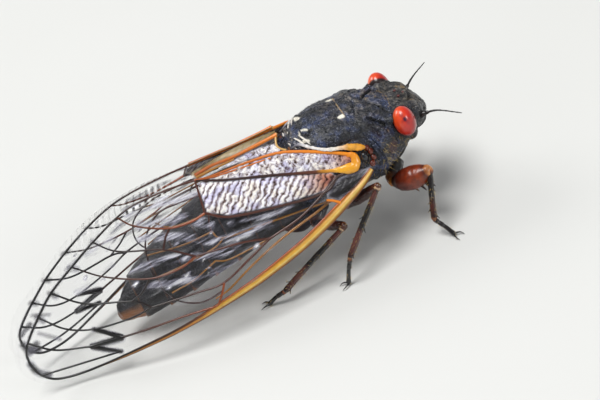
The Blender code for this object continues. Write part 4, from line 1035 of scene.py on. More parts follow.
foreVeins = (  # finish, width at each end, points
    ("dark", 0.2, 0.22,
        ((16.6, 11.1), (21.0, 11.25), (24.8, 11.15), (28.6, 10.9), (31.1, 10.35), (32.2, 9.35),
            (32.55, 8.2))),
    ("orange", 0.34, 0.18, claval), ("yellow", 0.34, 0.17, suture), ("dark", 0.2, 0.22, cubitus),
    ("dark", 0.2, 0.16, ((13.8, 3.7), (13.5, 2.1), (13.3, 0.9))),
    ("orange", 0.2, 0.14, ((13.8, 3.7), (15.2, 3.8), (17.1, 3.4), (19.4, 2.0), (20.4, 0.7))),
    ("dark", 0.24, 0.2, ((0.9, 6.2), (2.0, 6.05), (2.7, 6.0))),
    ("dark", 0.22, 0.2, ((2.7, 6.0), (4.3, 6.7), (7.0, 7.6), (10.0, 8.0))),
    ("dark", 0.2, 0.16, ((10.0, 8.0), (12.4, 7.2), (16.1, 6.5))),
    ("dark", 0.17, 0.14, ((16.1, 6.5), (18.2, 4.8), (21.6, 3.2), (23.1, 1.6))),
    ("orange", 0.17, 0.14, ((16.1, 6.5), (17.7, 6.8), (20.3, 6.4), (23.5, 4.6), (25.6, 2.6))),
    ("dark", 0.2, 0.17, ((10.0, 8.0), (12.2, 8.7), (15.0, 9.5), (17.5, 9.2), (21.2, 8.6))),
    ("dark", 0.17, 0.17, ((21.2, 8.6), (22.5, 7.4), (26.0, 5.8), (28.1, 3.8))),
    ("dark", 0.17, 0.17, ((21.2, 8.6), (23.3, 8.6), (26.4, 8.0), (28.5, 6.9), (30.0, 5.1))),
    ("orange", 0.2, 0.18, ((15.0, 9.5), (15.5, 10.2), (16.3, 11.0))),
    ("orange", 0.18, 0.18, ((16.3, 11.0), (19.1, 10.5), (22.2, 10.1), (24.6, 9.7))),
    ("dark", 0.26, 0.42, ((26.4, 8.0), (24.6, 9.7))), ("dark", 0.42, 0.34, ((24.6, 9.7), (27.3, 9.2))),
    ("dark", 0.34, 0.26, ((27.3, 9.2), (25.2, 10.7))),
    ("dark", 0.18, 0.17, ((25.2, 10.7), (27.6, 10.3), (32.1, 9.5))),
    ("dark", 0.17, 0.17, ((27.3, 9.2), (30.1, 8.1), (31.8, 6.6))),
    ("dark", 0.18, 0.18, ((17.0, 3.5), (17.6, 4.0), (18.2, 4.8))),
    ("dark", 0.15, 0.15, ((20.3, 6.4), (21.3, 7.1), (22.4, 7.4))),
    ("orange", 0.16, 0.26, ((4.4, 7.35), (3.95, 7.6), (3.45, 8.05))),
    ("orange", 0.32, 0.28, ((5.55, 0.62), (7.2, 0.64), (9.7, 0.62), (11.6, 0.45), (13.1, 0.55))),
    ("honey", 0.16, 0.26, ((9.6, 0.84), (10.9, 0.78), (11.8, 0.76), (13.1, 0.75))),
    ("cream", 0.2, 0.18, ((5.45, 2.15), (5.85, 1.75), (5.95, 1.4), (5.75, 0.85), (5.5, 0.5))),
    ("orange", 0.15, 0.16, ((6.9, 2.12), (9.2, 1.78), (10.5, 1.58), (11.7, 1.38), (12.9, 1.05))),
    ("dark", 0.16, 0.2, ambient))
filmLook = {"sheens": (  # line, width, strength: painted reflections, where the film mirrors the light
        (((13.3, 1.75), (15.1, 1.55), (17.5, 0.95), (19.5, 0.75)), 0.4, 0.8),
        (((13.9, 4.7), (15.5, 3.3), (17.2, 2.9), (19.0, 2.1)), 0.42, 0.7),
        (((9.4, 6.9), (12.0, 6.6), (14.4, 5.95), (16.35, 4.55), (19.45, 3.1)), 0.32, 0.62),
        (((12.6, 7.3), (15.14, 6.95), (17.7, 5.85), (21.3, 5.0)), 0.34, 0.66),
        (((13.2, 8.5), (15.5, 8.3), (18.2, 7.7), (21.0, 6.7)), 0.26, 0.55),
        (((6.0, 6.6), (9.0, 6.3), (12.4, 5.4)), 0.2, 0.4),
        (((20.6, 1.3), (22.4, 2.3), (24.0, 2.3)), 0.3, 0.42),
        (((22.5, 4.0), (24.4, 4.4), (26.2, 4.6)), 0.26, 0.34)),
    # painted glints: behind, down and radius
    "glints": ((17.46, 7.53, 0.3), (15.77, 8.18, 0.26), (19.16, 7.78, 0.2), (21.56, 6.32, 0.22),
        (16.98, 4.86, 0.2), (14.14, 5.43, 0.16), (11.23, 8.06, 0.2), (15.67, 7.11, 0.18),
        (12.4, 6.9, 0.15), (23.6, 4.6, 0.16), (25.0, 3.9, 0.14), (22.2, 2.6, 0.16)),
    "smokes": (  # line, width, strength: where the film is dark
        (((26.4, 8.0), (24.6, 9.7), (27.3, 9.2), (25.2, 10.7)), 0.19, 0.95),
        (((24.7, 9.7), (26.4, 9.4)), 0.3, 0.8), (((29.3, 7.4), (30.6, 6.2)), 0.2, 0.35),
        (((31.6, 9.7), (32.3, 9.0), (32.5, 8.2)), 0.32, 0.7), (((31.2, 6.9), (32.2, 7.3)), 0.3, 0.6),
        (((27.9, 4.1), (28.2, 3.7)), 0.3, 0.5), (((29.8, 5.4), (30.1, 5.0)), 0.3, 0.5),
        (((25.3, 2.9), (25.8, 2.6)), 0.3, 0.45), (((22.9, 1.8), (23.2, 1.5)), 0.3, 0.4),
        (ambient[3:], 0.13, 0.5)),
    # painted shade at the wing's base: a near-black patch where the dark body shows through in shade
    "baseShade": (((-0.3, 6.5), (0.8, 6.35), (2.6, 6.1), (4.2, 6.85), (4.3, 7.3), (3.6, 7.9),
            (1.9, 7.55), (0.6, 7.0)), 0.3, 0.93),
    "strip": (((5.5, 0.3), (8.0, 0.25), (10.2, 0.25), (13.0, 0.4)), 0.42, 0.78)}
# The tip ripples carry painted highlights as white bars and painted shade as dark bars between them
ripples = {"start": 14.5,
    "way": (0.92, -0.38),
    "pitch": 0.52,
    "height": 0.03,
    "fade": ((15.0, 22.0, 26.0, 30.0), (0.6, 0.4, 0.15, 0.05)),  # strength of the painted highlight bars, along the wing
    # strength of the painted shade between the bars, along the wing
    "barShade": ((15.0, 19.0, 23.0), (0.45, 0.25, 0.0))}
hindEdges = (((0.2, 6.7), (4.8, 8.0), (9.3, 8.8), (12.5, 9.6), (15.2, 10.4), (17.6, 10.4), (19.6, 9.0),
        (20.3, 6.6), (19.8, 4.0), (18.7, 2.4), (17.1, 1.6), (14.6, 1.7), (11.0, 2.2), (8.0, 3.0),
        (4.6, 4.6), (1.5, 5.9), (0.2, 6.7)),)
hindVeins = (("honey", 0.26, 0.16,
        ((1.2, 6.7), (4.8, 7.7), (9.3, 8.5), (12.5, 9.4), (14.8, 10.2), (16.2, 10.4))),
    ("honey", 0.18, 0.15, ((4.1, 7.5), (9.3, 6.8), (13.3, 6.2), (14.0, 5.3))),
    ("honey", 0.14, 0.12, ((13.3, 6.2), (14.5, 6.6), (17.5, 6.7), (19.6, 6.6))),
    ("honey", 0.16, 0.13, ((8.0, 7.8), (10.7, 8.0), (13.7, 8.0), (14.8, 7.6))),
    ("honey", 0.13, 0.12, ((14.8, 7.6), (17.2, 8.2), (19.2, 8.3))),
    ("honey", 0.14, 0.12, ((3.0, 5.9), (7.5, 4.6), (12.0, 3.9), (16.5, 3.5), (18.0, 2.3))),
    ("dark", 0.14, 0.13, ((14.0, 5.3), (13.8, 4.5), (13.5, 3.8))),
    ("honey", 0.14, 0.12, ((14.0, 5.3), (16.5, 5.2), (19.6, 4.6))),
    ("dark", 0.15, 0.15,
        ((11.0, 2.5), (15.2, 1.95), (17.1, 1.9), (18.5, 2.7), (19.5, 4.1), (19.9, 6.6), (19.3, 8.8),
            (17.5, 10.1), (15.4, 10.1))))
vein = {"dark": darkVein,
    "orange": orangeVein,
    "yellow": yellowVein,
    "honey": honeyVein,
    "cream": creamVein}


def roofPoint(behind, down, depth=0.0):  # on the right wing
    behind, down = np.asarray(behind, float), np.asarray(down, float)
    base, added, start, reach = roof["twist"]
    twist = base - added * np.clip((behind - start) / reach, 0.0, None) ** 1.45
    crown = np.interp(behind, *roof["crown"])
    half = roof["width"] / 2
    spread = readRows(roof["spread"], np.maximum(behind, 0.0))[..., 0]
    lift = spread + down * twist + crown * (1.0 - ((down - half) / half) ** 2) - depth
    spot = np.array(roof["ridge"]) + down[..., None] * np.array(roof["down"])
    spot = spot + lift[..., None] * np.array(roof["out"])
    spot[..., 0] -= behind
    return spot


def roofNormal(behind, down):
    ahead = roofPoint(behind + 0.05, down) - roofPoint(behind - 0.05, down)
    across = roofPoint(behind, down + 0.05) - roofPoint(behind, down - 0.05)
    normal = np.cross(ahead, across)
    normal /= np.linalg.norm(normal, axis=-1, keepdims=True)
    return normal * np.sign(normal @ np.array(roof["out"]))[..., None]


def softInside(layout, loop, edge=0.12):
    loop = np.array(loop, float)
    inside = insideLoop(layout, loop)
    away = lineDistance(layout, np.vstack([loop, loop[:1]]))
    return np.clip(np.where(inside, away, -away) / edge, 0, 1)


def layoutMesh(edges, step):
    outline = np.vstack([smoothLine(edge, step * 1.3)[:-1] for edge in edges])
    low, high = outline.min(axis=0), outline.max(axis=0)
    behind, down = np.meshgrid(np.arange(low[0], high[0], step), np.arange(low[1], high[1], step))
    behind[::2] += step / 2
    spots = np.column_stack([behind.ravel(), down.ravel()])
    rim = np.vstack([outline, outline[:1]])
    spots = spots[insideLoop(spots, outline) & (lineDistance(spots, rim) > step * 0.5)]
    points = np.vstack([outline, spots])
    flat, _, triangles, _, _, _ = delaunay_2d_cdt(
        [Vector(point) for point in points], [], [list(range(len(outline)))], 1, 1e-6)
    return np.array([point[:] for point in flat]), [tuple(t) for t in triangles]


def filmMarks(layout, rim, away):  # painted sheen and glints, smoke with painted shade at the base, tip ripples with painted highlight and shade bars, and the strip of the forewing
    sheen, smokeAndShade = np.zeros((2, len(layout)))
    for line, width, strength in filmLook["sheens"]:
        span = lineDistance(layout, smoothLine(line, 0.3)) / width
        sheen = np.maximum(sheen, strength * np.exp(-span ** 4) * np.clip(away / 0.12, 0, 1))
    for behind, down, radius in filmLook["glints"]:
        turn = (layout - (behind, down)) @ np.array(((0.9, 0.44), (-0.44, 0.9))).T
        span = np.hypot(turn[:, 0] * 0.45, turn[:, 1] + 0.6 * turn[:, 0] ** 2) / radius
        span = span + 0.3 * lumps(layout, 0.2, 14)
        sheen = np.maximum(sheen, np.clip(1.2 - span * 1.1, 0, 1) * np.clip(away / 0.1, 0, 1))
    for line, width, strength in filmLook["smokes"]:
        span = lineDistance(layout, smoothLine(line, 0.3)) / width
        smokeAndShade = np.maximum(smokeAndShade, strength * np.exp(-span ** 3))
    # painted shade at the wing's base joins the smoky stains
    loop, edge, strength = filmLook["baseShade"]
    smokeAndShade = np.maximum(smokeAndShade, strength * softInside(layout, loop, edge))
    line, width, strength = filmLook["strip"]
    strip = strength * np.exp(-(lineDistance(layout, line) / width) ** 4)
    border = lineDistance(layout, smoothLine(ambient, 0.4))
    start = ripples["start"]
    outside = np.clip((rim + border < 1.5) * (border > 0.14), 0, 1) * (layout[:, 0] > start)
    outside = outside * np.clip((layout[:, 0] - start) / 2, 0, 1)
    bars = np.sin(layout @ ripples["way"] * math.tau / ripples["pitch"]
                  + 0.9 * lumps(layout, 1.4, 5))
    fade = np.interp(layout[:, 0], *ripples["fade"]) * np.clip(
        0.55 + 0.75 * lumps(layout, 0.8, 23), 0.1, 1)
    barShade = np.interp(layout[:, 0], *ripples["barShade"])
    # painted highlight on the bars, less painted shade between them
    rippleHighlightShade = outside * (fade * np.clip(bars * 2.2 - 0.3, 0, 1)
                        - barShade * np.clip(-bars * 2.5 - 1.2, 0, 1))
    return sheen, smokeAndShade, rippleHighlightShade, strip, ripples["height"] * outside * bars * fade


def makeFilm(name, side, edges, veins, depth, material, node, cells, step):
    layout, triangles = layoutMesh(edges, step)
    away = np.min([lineDistance(layout, smoothLine(row[3], 0.5)) for row in veins], axis=0)
    rim = lineDistance(layout, np.vstack([smoothLine(edge, 0.3) for edge in edges]))
    silver, warm, fold = np.zeros((3, len(layout)))
    for loop, blotted, warmEnd in cells:
        inside = softInside(layout, loop)
        silver = np.maximum(silver, inside)
        fold = np.maximum(fold, inside * blotted)
        warm = np.maximum(warm, inside * np.clip((warmEnd - layout[:, 0]) / 2.4, 0, 0.9))
    swirl = 2.0 * lumps(layout, 1.2, 5) + 1.3 * lumps(layout, 0.55, 6)
    waves = np.sin(layout @ (0.66, -0.75) * math.tau / wing["fold"] + swirl)
    height = wing["bulge"] * (1 - np.exp(-(away / wing["bulgeReach"]) ** 2))
    height = height + silver * wing["foldHeight"] * (waves + 0.8 * lumps(layout, 0.4, 7))
    height = height + 0.05 * lumps(layout * (0.5, 1.0), 0.8, 17)
    sheen, smokeAndShade, rippleHighlightShade, strip, rise = (filmMarks(layout, rim, away) if cells
                                         else np.zeros((5, len(layout))))
    height = (height + rise) * np.clip(rim / wing["rim"], 0, 1)
    centre = roofPoint(layout[:, 0], layout[:, 1], depth)
    normal = roofNormal(layout[:, 0], layout[:, 1])
    upper, lower = (centre + normal * (height + half)[:, None]
                    for half in (wing["film"] / 2, -wing["film"] / 2))
    count = len(layout)
    seen = {(t[n], t[(n + 1) % 3]) for t in triangles for n in range(3)}
    faces = triangles + [tuple(n + count for n in reversed(t)) for t in triangles]
    faces += [(b, a, a + count, b + count) for a, b in sorted(seen) if (b, a) not in seen]
    marks = {"plan": np.column_stack([layout, np.zeros(count)]),
             "tone": np.column_stack([silver, sheen, smokeAndShade]),
             "marks": np.column_stack([rippleHighlightShade, strip, warm]), "fold": fold}
    addPiece(name, [(np.vstack([upper, lower]), faces,
                     {key: np.concatenate([values] * 2) for key, values in marks.items()})],
             material, [node], -side)


def newTree(name, sockets):  # a tree of one geometry with named inputs
    tree = bpy.data.node_groups.new(name, "GeometryNodeTree")
    for label, kind in (("Geometry", "Geometry"), *sockets):
        tree.interface.new_socket(label, in_out="INPUT", socket_type="NodeSocket" + kind)
    tree.interface.new_socket("Geometry", in_out="OUTPUT", socket_type="NodeSocketGeometry")
    add = partial(addNode, tree)
    return tree, add, add("NodeGroupInput").outputs


def endTree(add, shape, finish):
    real = add("GeometryNodeRealizeInstances", (shape,))
    add("NodeGroupOutput", {0: add("GeometryNodeSetMaterial", {"Geometry": real,
        "Material": finish})})


def veinTree():  # turns curves into round ribs, as wide as the curve's own radius says
    tree, add, given = newTree("veinRibs", (("Sides", "Int"), ("Swell", "Float"),
                                            ("Finish", "Material")))
    circle = add("GeometryNodeCurvePrimitiveCircle", {"Resolution": given["Sides"], "Radius": 1.0})
    radius = add("GeometryNodeInputRadius")
    swell = add("Math", (radius, given["Swell"]), operation="MULTIPLY")
    ribs = add("GeometryNodeCurveToMesh", {"Curve": given["Geometry"],
        "Profile Curve": circle.outputs["Curve"], "Scale": swell, "Fill Caps": True})
    smooth = add("GeometryNodeSetShadeSmooth", {0: ribs})
    endTree(add, smooth, given["Finish"])
    return tree


def throughTree(name, source, tree, values):
    # Runs a source object through a tree, and keeps the result as one plain mesh
    modifier = source.modifiers.new(tree.name, "NODES")
    modifier.node_group = tree
    for item in tree.interface.items_tree:
        if item.in_out == "INPUT" and item.name in values:
            modifier[item.identifier] = values[item.name]
    source.update_tag()
    bpy.context.view_layer.update()
    seen = source.evaluated_get(bpy.context.evaluated_depsgraph_get())
    mesh = bpy.data.meshes.new_from_object(seen)
    mesh.name = name
    bpy.data.objects.remove(source, do_unlink=True)
    work = bmesh.new()
    work.from_mesh(mesh)
    bmesh.ops.recalc_face_normals(work, faces=work.faces)
    work.to_mesh(mesh)
    work.free()
    return declare(name, mesh)


def curveObject(name, lines):  # lines of (points, widths) in millimetres
    curve = bpy.data.curves.new(name, "CURVE")
    curve.dimensions = "3D"
    for points, widths in lines:
        spline = curve.splines.new("POLY")
        spline.points.add(len(points) - 1)
        spots = (points + (shieldFront, 0, 0)) * mm
        spline.points.foreach_set("co", np.column_stack([spots, np.ones(len(spots))]).ravel())
        spline.points.foreach_set("radius", widths / 2 * mm)
    return addObject(name + "_path", curve)


ribs = veinTree()


def makeVeins(name, side, veins, depth):
    step, (wider, reach) = wing["veinStep"], wing["veinFlare"]
    for finish in sorted({row[0] for row in veins}):
        lines = []
        for kind, first, last, points in veins:
            if kind != finish:
                continue
            layout = smoothLine(points, step)
            spots = roofPoint(layout[:, 0], layout[:, 1], depth) * (1.0, -side, 1.0)
            share = np.linspace(0, 1, len(layout))
            widths = (first + (last - first) * share) * (1 + 0.06 * lumps(layout, 0.7, 31))
            flare = sum(np.exp(-part * len(share) * step / reach) for part in (share, 1 - share))
            lines.append((spots, widths * (1 + wider * flare)))
        throughTree(f"{name}_{finish}", curveObject(f"{name}_{finish}", lines), ribs,
                    {"Sides": wing["veinSides"], "Swell": 1.0, "Finish": vein[finish]})


leadingRib = {"past": ((18.5, 11.25), (21.0, 11.32), (24.8, 11.2), (28.0, 10.98)),
    "sides": 32,
    "halfWidths": ((-0.1, 0.8, 2.0, 4.0, 8.5, 12.5, 16.6, 19.0, 24.0, 28.0),
        (0.22, 0.34, 0.42, 0.45, 0.43, 0.37, 0.28, 0.21, 0.16, 0.06)),
    "height": 0.13,
    "crest": ((0.15, 0.3, 0.07), (-0.5, 0.14, -0.06), (0.72, 0.1, -0.05)),  # place across, width, rise
    "thick": ((0.0, 10.0, 17.0, 28.0), (1.3, 1.1, 0.9, 0.5))}


def makeLeadingRib(name, side):
    # A broad flattened rib with a crest, from the hinge past the node, where it thins
    line = smoothLine(leading + leadingRib["past"], 0.16)
    run = np.gradient(line, axis=0)
    run /= np.linalg.norm(run, axis=1)[:, None]
    across = np.column_stack([-run[:, 1], run[:, 0]])
    half = np.interp(line[:, 0], *leadingRib["halfWidths"])
    turns = np.linspace(0.0, math.tau, leadingRib["sides"], endpoint=False)
    u = np.cos(turns)
    rise = np.sign(np.sin(turns)) * np.abs(np.sin(turns)) ** 0.7
    rise = rise * (leadingRib["height"] + sum(height * np.exp(-((u - place) / width) ** 2)
                                              for place, width, height in leadingRib["crest"]))
    layout = line[:, None, :] + half[:, None, None] * u[None, :, None] * across[:, None, :]
    spots = roofPoint(layout[..., 0], layout[..., 1])
    normal = roofNormal(line[:, 0], line[:, 1])[:, None, :]
    thick = np.interp(line[:, 0], *leadingRib["thick"])[:, None, None]
    grid = spots + normal * rise[None, :, None] * thick
    along = np.append(np.repeat(line[:, 0] / 28.0, len(turns)), [0.0, 1.0])
    across = np.append(np.tile((u + 1) / 2, len(line)), [0.5, 0.5])
    addPiece(name, [ringForm(grid, along=along, across=across)], goldBand, flip=-side)


silverCells = (  # outline, how blotched, where the warm stain at its base ends
    (claval + tuple(reversed(suture)), 0.72, 3.4),
    (((3.0, 5.45), (7.6, 3.5), (11.1, 2.1), (13.2, 1.1), (13.4, 2.1), (13.7, 3.7), (12.1, 4.8),
            (8.1, 5.9), (4.3, 6.6), (2.7, 6.0)), 0.22, 6.0),
    (((5.75, 2.1), (7.2, 1.75), (8.6, 1.4), (10.5, 1.15), (10.6, 0.95), (9.4, 0.86), (8.0, 0.88),
            (7.0, 1.0), (5.9, 1.2)), 0.85, 0.0))


def makeWings():
    for name, side in sides.items():
        makeFilm(f"forewing_film_{name}", side, foreEdges, foreVeins, 0.0, foreFilm,
                 f"forewing_{name}", silverCells, wing["step"])
        makeLeadingRib(f"forewing_rib_{name}", side)
        makeVeins(f"forewing_vein_{name}", side, foreVeins, 0.0)
        makeFilm(f"hindwing_film_{name}", side, hindEdges, hindVeins, wing["hindDepth"], hindFilm,
                 f"hindwing_{name}", (), wing["hindStep"])
        makeVeins(f"hindwing_vein_{name}", side, hindVeins, wing["hindDepth"])


makeWings()
print("wings made")


# Hinge parts where the forewing meets the body

hinge = {"cord": ((0.42, -3.96, 9.2), (-0.3, -3.8, 9.52), (-1.0, -3.62, 9.82), (-2.58, -3.22, 10.25),
        (-3.75, -2.35, 10.78), (-4.3, -1.75, 10.95), (-5.0, -1.5, 10.75)),
    "cordWidths": ((0.0, 0.04, 0.1, 0.18, 0.24, 0.32, 0.6, 0.85, 1.0),
        (0.26, 0.56, 0.66, 0.66, 0.5, 0.34, 0.28, 0.26, 0.16)),
    "plate": ((1.2, 4.78), (0.85, 4.95), (0.72, 5.3), (0.85, 5.7), (1.25, 5.92), (2.3, 5.6),
        (3.7, 5.02)),
    "plateWidths": ((0.0, 0.1, 0.25, 0.4, 0.5, 0.62, 0.8, 1.0),
        (0.34, 0.56, 0.78, 0.92, 0.86, 0.56, 0.3, 0.12)),
    "bead": (-0.02, 5.62),
    "beadSize": (0.3, 0.34, 0.46),
    "lumps": ((-0.15, 4.72, 0.24), (-0.5, 5.0, 0.25), (-0.72, 5.42, 0.24), (-0.72, 5.95, 0.22),
        (-0.42, 6.35, 0.26), (0.25, 4.75, 0.18)),
    "pleats": (  # tone and route of the creased skin behind the shield's corner
        (0.45, ((-4.6, -0.3), (-4.2, -1.2), (-3.75, -2.5))),
        (0.9, ((-4.9, -0.4), (-4.65, -1.0), (-4.3, -1.95))),
        (0.45, ((-4.98, -0.55), (-4.82, -1.2), (-4.6, -1.75))),
        (0.5, ((-3.95, -0.9), (-3.72, -1.6), (-3.45, -2.4)))),
    "pleatWidths": ((0.0, 0.3, 0.75, 1.0), (0.045, 0.15, 0.18, 0.06))}


def bodyTop(x, y):  # the height of the body's upper side
    halfWidth, top, bottom, square = np.moveaxis(readRows(bodyRows, x), -1, 0)
    share = np.minimum(np.abs(y) / halfWidth, 0.98)
    return (top + bottom) / 2 + (top - bottom) / 2 * (1 - share ** square) ** (1 / square)


def makeHinges():
    for name, side in sides.items():
        forms = []
        for tone, route in hinge["pleats"]:
            flat = smoothLine(route, 0.06)
            spots = np.column_stack([flat, bodyTop(flat[:, 0], flat[:, 1]) + 0.03])
            widths = np.interp(np.linspace(0, 1, len(flat)), *hinge["pleatWidths"])
            forms.append(limbForm(spots, widths, 12, 0.8, 0.03, tone=tone))
        addPiece(f"hinge_pleats_{name}", forms, cordSkin, flip=-side)
        line = smoothLine(hinge["cord"], 0.08)
        share = np.linspace(0, 1, len(line))
        widths = np.interp(share, *hinge["cordWidths"]) * (1 + 0.05 * np.sin(share * 150))
        addPiece(f"hinge_cord_{name}", [limbForm(line, widths, 24, 0.55, 0.05, (0.1, -0.6, 0.8))],
                 cordSkin, flip=-side)
        layout = smoothLine(hinge["plate"], 0.08)
        spots = roofPoint(layout[:, 0], layout[:, 1], -0.05)
        widths = np.interp(np.linspace(0, 1, len(layout)), *hinge["plateWidths"])
        addPiece(f"hinge_plate_{name}",
                 [limbForm(spots, widths, 24, 0.55, 0.03, (0.0, -0.82, 0.57))], plateYellow,
                 flip=-side)
        forms = []
        for behind, down, size in hinge["lumps"]:
            lump = globe(roofPoint(behind, down, 0.2), (size, size * 1.1, size * 1.15), 30, 20)
            middle = lump.mean(axis=(0, 1))
            lump = middle + (lump - middle) * (1 + 0.2 * lumps(lump, 0.3, 77))[..., None]
            forms.append(ringForm(lump))
        addPiece(f"hinge_lumps_{name}", forms, hingeHorn, flip=-side)
        bead = globe(roofPoint(*hinge["bead"], -0.12), hinge["beadSize"], 36, 24)
        addPiece(f"hinge_bead_{name}", [ringForm(bead)], hingeBlack, flip=-side)


makeHinges()


# Flaps under the base of the abdomen

flap = {"centre": (-7.0, 1.75, 4.2), "size": (1.5, 1.15, 0.22), "tilt": 0.62, "taper": 0.25}


def makeFlaps():
    for name, side in sides.items():
        turn = Matrix.Rotation(-flap["tilt"] * side, 3, "X")
        grid = globe((0.0, 0.0, 0.0), flap["size"], 60, 30)
        grid[..., 1] *= 1 - flap["taper"] * np.clip(-grid[..., 0] / flap["size"][0], 0, 1)
        grid = grid @ np.array(turn).T + np.array(flap["centre"]) * (1, side, 1)
        along = np.append(np.clip((-grid[..., 0] - 5.5) / 3.0, 0, 1).ravel(), [0.5, 0.5])
        addPiece(f"belly_flap_{name}", [ringForm(grid, along=along)], flapHorn)


makeFlaps()
print("hinges and flaps made")


# Fine hairs, each a bent cone

hair = {"sides": 4, "segments": 2, "tip": 0.02, "wild": 0.45, "sizes": (0.45, 1.15), "patch": 0.0015,
    "clear": 0.02}  # mm above the floor


def hairTree():
    tree, add, given = newTree("fineHairs", (("Density", "Float"), ("Length", "Float"),
                               ("Width", "Float"), ("Lean", "Vector"), ("Seed", "Int"),
                               ("Finish", "Material")))
    grow = add("GeometryNodeInputNamedAttribute", {"Name": "grow"}, data_type="FLOAT")
    density = add("Math", (grow, given["Density"]), operation="MULTIPLY")
    points = add("GeometryNodeDistributePointsOnFaces", {"Mesh": given["Geometry"],
        "Seed": given["Seed"], "Density": density}, distribute_method="RANDOM")
    wild = add("FunctionNodeRandomValue", {0: (-hair["wild"],) * 3, 1: (hair["wild"],) * 3,
        "Seed": given["Seed"]}, data_type="FLOAT_VECTOR")
    way = points.outputs["Normal"]
    for push in (given["Lean"], wild):
        way = add("VectorMath", (way, push), operation="ADD")
    turn = add("FunctionNodeAlignRotationToVector", {"Vector": way}, axis="Z")
    cone = add("GeometryNodeMeshCone", {"Vertices": hair["sides"],
        "Side Segments": hair["segments"], "Radius Top": hair["tip"], "Radius Bottom": 1.0,
        "Depth": 1.0}, fill_type="TRIANGLE_FAN")
    size = add("CombineXYZ", (given["Width"], given["Width"], given["Length"]))
    shaped = add("GeometryNodeTransform", {"Geometry": cone, "Scale": size})
    vary = add("FunctionNodeRandomValue", {2: hair["sizes"][0], 3: hair["sizes"][1], "Seed": 5},
        data_type="FLOAT")
    hairs = add("GeometryNodeInstanceOnPoints", {"Points": points, "Instance": shaped,
        "Rotation": turn, "Scale": vary.outputs[1]})
    endTree(add, hairs, given["Finish"])
    return tree


hairs = hairTree()


def readSpots(mesh):
    spots = np.empty(len(mesh.vertices) * 3)
    mesh.vertices.foreach_get("co", spots)
    return spots


def growthPatch(name, source, share):  # a copy of a piece's mesh with its own hair density
    mesh = bpy.data.objects[source].data.copy()
    spots = readSpots(mesh).reshape(-1, 3) / mm - (shieldFront, 0, 0)
    mesh.attributes.new("grow", "FLOAT", "POINT").data.foreach_set(
        "value", np.clip(share(spots), 0, 1))
    return addObject(name + "_patch", mesh)


def bakeMap(mesh):  # each hair is a small patch at its root's place round the body
    corners = hair["sides"] * (hair["segments"] + 1) + 2
    roots = readSpots(mesh).reshape(-1, corners, 3).mean(axis=1)
    low, high = roots.min(axis=0), roots.max(axis=0)
    turn = np.arctan2(roots[:, 1], roots[:, 2] - roots[:, 2].mean()) / math.tau + 0.5
    along = (roots[:, 0] - low[0]) / max(high[0] - low[0], 1e-9)
    home = np.column_stack([0.01 + 0.98 * along, 0.01 + 0.98 * turn])
    corner = np.column_stack([np.arange(corners) % 3, np.arange(corners) // 3 % 3])
    places = (home[:, None, :] + corner[None] * hair["patch"]).reshape(-1, 2)
    index = np.empty(len(mesh.loops), int)
    mesh.loops.foreach_get("vertex_index", index)
    mesh.uv_layers.new(name="OFBake").data.foreach_set("uv", places[index].ravel())


def growHairs(name, source, share, density, length, width, lean, finish, seed):
    patch = growthPatch(name, source, share)
    piece = throughTree(name, patch, hairs, {"Density": density / mm ** 2, "Length": length * mm,
                        "Width": width * mm / 2, "Lean": lean, "Seed": seed, "Finish": finish})
    for vertex in piece.data.vertices:
        vertex.co.z = max(vertex.co.z, hair["clear"] * mm)  # none reaches into the floor
    bakeMap(piece.data)


def ballShare(centre, radii):
    return lambda spots: 1.4 - np.linalg.norm((folded(spots) - centre) / radii, axis=-1)


for name, source, centre, radii, density, length, width, lean, finish, seed in (
        ("breast_hairs", "pronotum_shell", (1.9, -4.1, 7.3), (1.2, 1.6, 1.6), 11.0, 0.55, 0.028,
         (0.2, 0.0, -0.5), goldHair, 3),
        ("side_hairs", "shield_shell", (-0.4, -3.9, 7.0), (1.4, 1.2, 2.0), 8.0, 0.5, 0.028,
         (-0.3, 0.0, -0.5), goldHair, 4),
        ("cheek_hairs", "head_shell", (4.2, -2.6, 7.4), (0.9, 1.3, 0.9), 9.0, 0.4, 0.026,
         (0.0, 0.0, -0.4), goldHair, 5),
        ("shield_down", "shield_shell", (-2.4, 0.0, 11.4), (3.6, 4.0, 2.2), 16.0, 0.18, 0.03,
         (-0.9, 0.0, 0.0), greyHair, 6)):
    growHairs(name, source, ballShare(centre, radii), density, length, width, lean, finish,
              seed)
for name in sides:
    for pair in legs:
        for part, density in (("shank", 12.0), ("foot", 6.0)):
            growHairs(f"{part}_hairs_{pair}_{name}", f"{part}_{pair}_{name}",
                      lambda spots: np.ones(len(spots)), density, 0.26, 0.028, (-0.2, 0.0, -0.4),
                      goldHair, 9)
print("hairs made")


# Floor, light and camera

studio = {"floor": 3.0,
    "world": 0.3,
    "sky": (0.93, 0.96, 1.0, 1.0),
    "aim": (0.0, 0.0, 0.007),
    "lights": (("keyLight", (-0.06, -0.02, 0.42), 0.24, 1.62),  # place, size and power
        ("fillLight", (0.26, -0.34, 0.2), 0.14, 0.55), ("rimLight", (-0.24, 0.26, 0.26), 0.2, 0.6))}


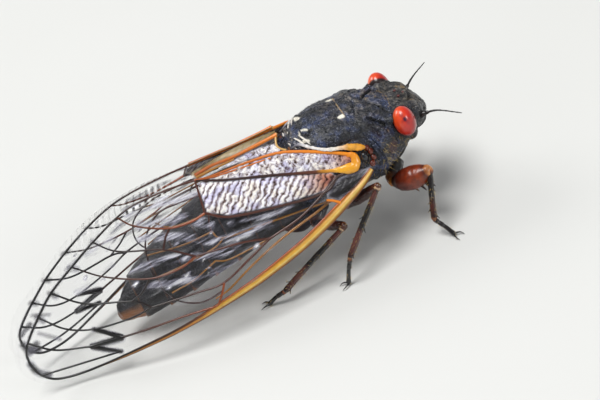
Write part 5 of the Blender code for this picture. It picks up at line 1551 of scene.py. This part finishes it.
def makeStudio():
    half = studio["floor"] / 2
    mesh = bpy.data.meshes.new("floor")
    mesh.from_pydata([(-half, -half, 0), (half, -half, 0), (half, half, 0), (-half, half, 0)], [],
                     [(0, 1, 2, 3)])
    mesh.materials.append(cloudy("matStudioFloor", ((0.0, "#CFCFCB"), (1.0, "#D6D6D3")), 0.02, 0.7))
    addObject("floor", mesh)
    world = bpy.data.worlds.new("softRoom")
    world.use_nodes = True
    background = world.node_tree.nodes["Background"]
    background.inputs[0].default_value = studio["sky"]
    background.inputs[1].default_value = studio["world"]
    bpy.context.scene.world = world
    for name, place, size, power in studio["lights"]:
        light = bpy.data.lights.new(name, "AREA")
        light.shape = "DISK"
        light.size = size
        light.energy = power
        lamp = addObject(name, light)
        lamp.location = place
        aim = Vector(studio["aim"]) - Vector(place)
        lamp.rotation_euler = aim.to_track_quat("-Z", "Y").to_euler()


view = {"azimuth": 4.0, "elevation": 35.0, "roll": 25.0, "distance": 200.0, "pxPerMm": 12.0,
        "anchor": (0.0, 0.0, 11.4), "anchorPixel": (336, 107), "frame": (600, 400),
        "sensor": 36.0}


def makeCamera():
    azimuth, elevation, roll = (math.radians(view[key]) for key in ("azimuth", "elevation", "roll"))
    back = Vector((-math.sin(azimuth) * math.cos(elevation), -math.cos(azimuth)
                   * math.cos(elevation), math.sin(elevation)))
    right = Vector((math.cos(azimuth), -math.sin(azimuth), 0.0))
    up = back.cross(right)
    turnedRight = right * math.cos(roll) - up * math.sin(roll)
    turnedUp = up * math.cos(roll) + right * math.sin(roll)
    width, height = view["frame"]
    aside = (view["anchorPixel"][0] - width / 2) / view["pxPerMm"]
    above = (height / 2 - view["anchorPixel"][1]) / view["pxPerMm"]
    place = Vector(view["anchor"]) + back * view["distance"] - turnedRight * aside \
        - turnedUp * above
    data = bpy.data.cameras.new("photoCamera")
    data.sensor_width = view["sensor"]
    data.lens = view["sensor"] * view["pxPerMm"] * view["distance"] / width
    data.clip_start = 0.01
    camera = addObject("photoCamera", data)
    matrix = Matrix((turnedRight, turnedUp, back)).transposed().to_4x4()
    matrix.translation = (place + Vector((shieldFront, 0, 0))) * mm
    camera.matrix_world = matrix
    bpy.context.scene.camera = camera


makeStudio()
makeCamera()
bpy.context.scene.view_settings.view_transform = "Standard"
print("studio ready")
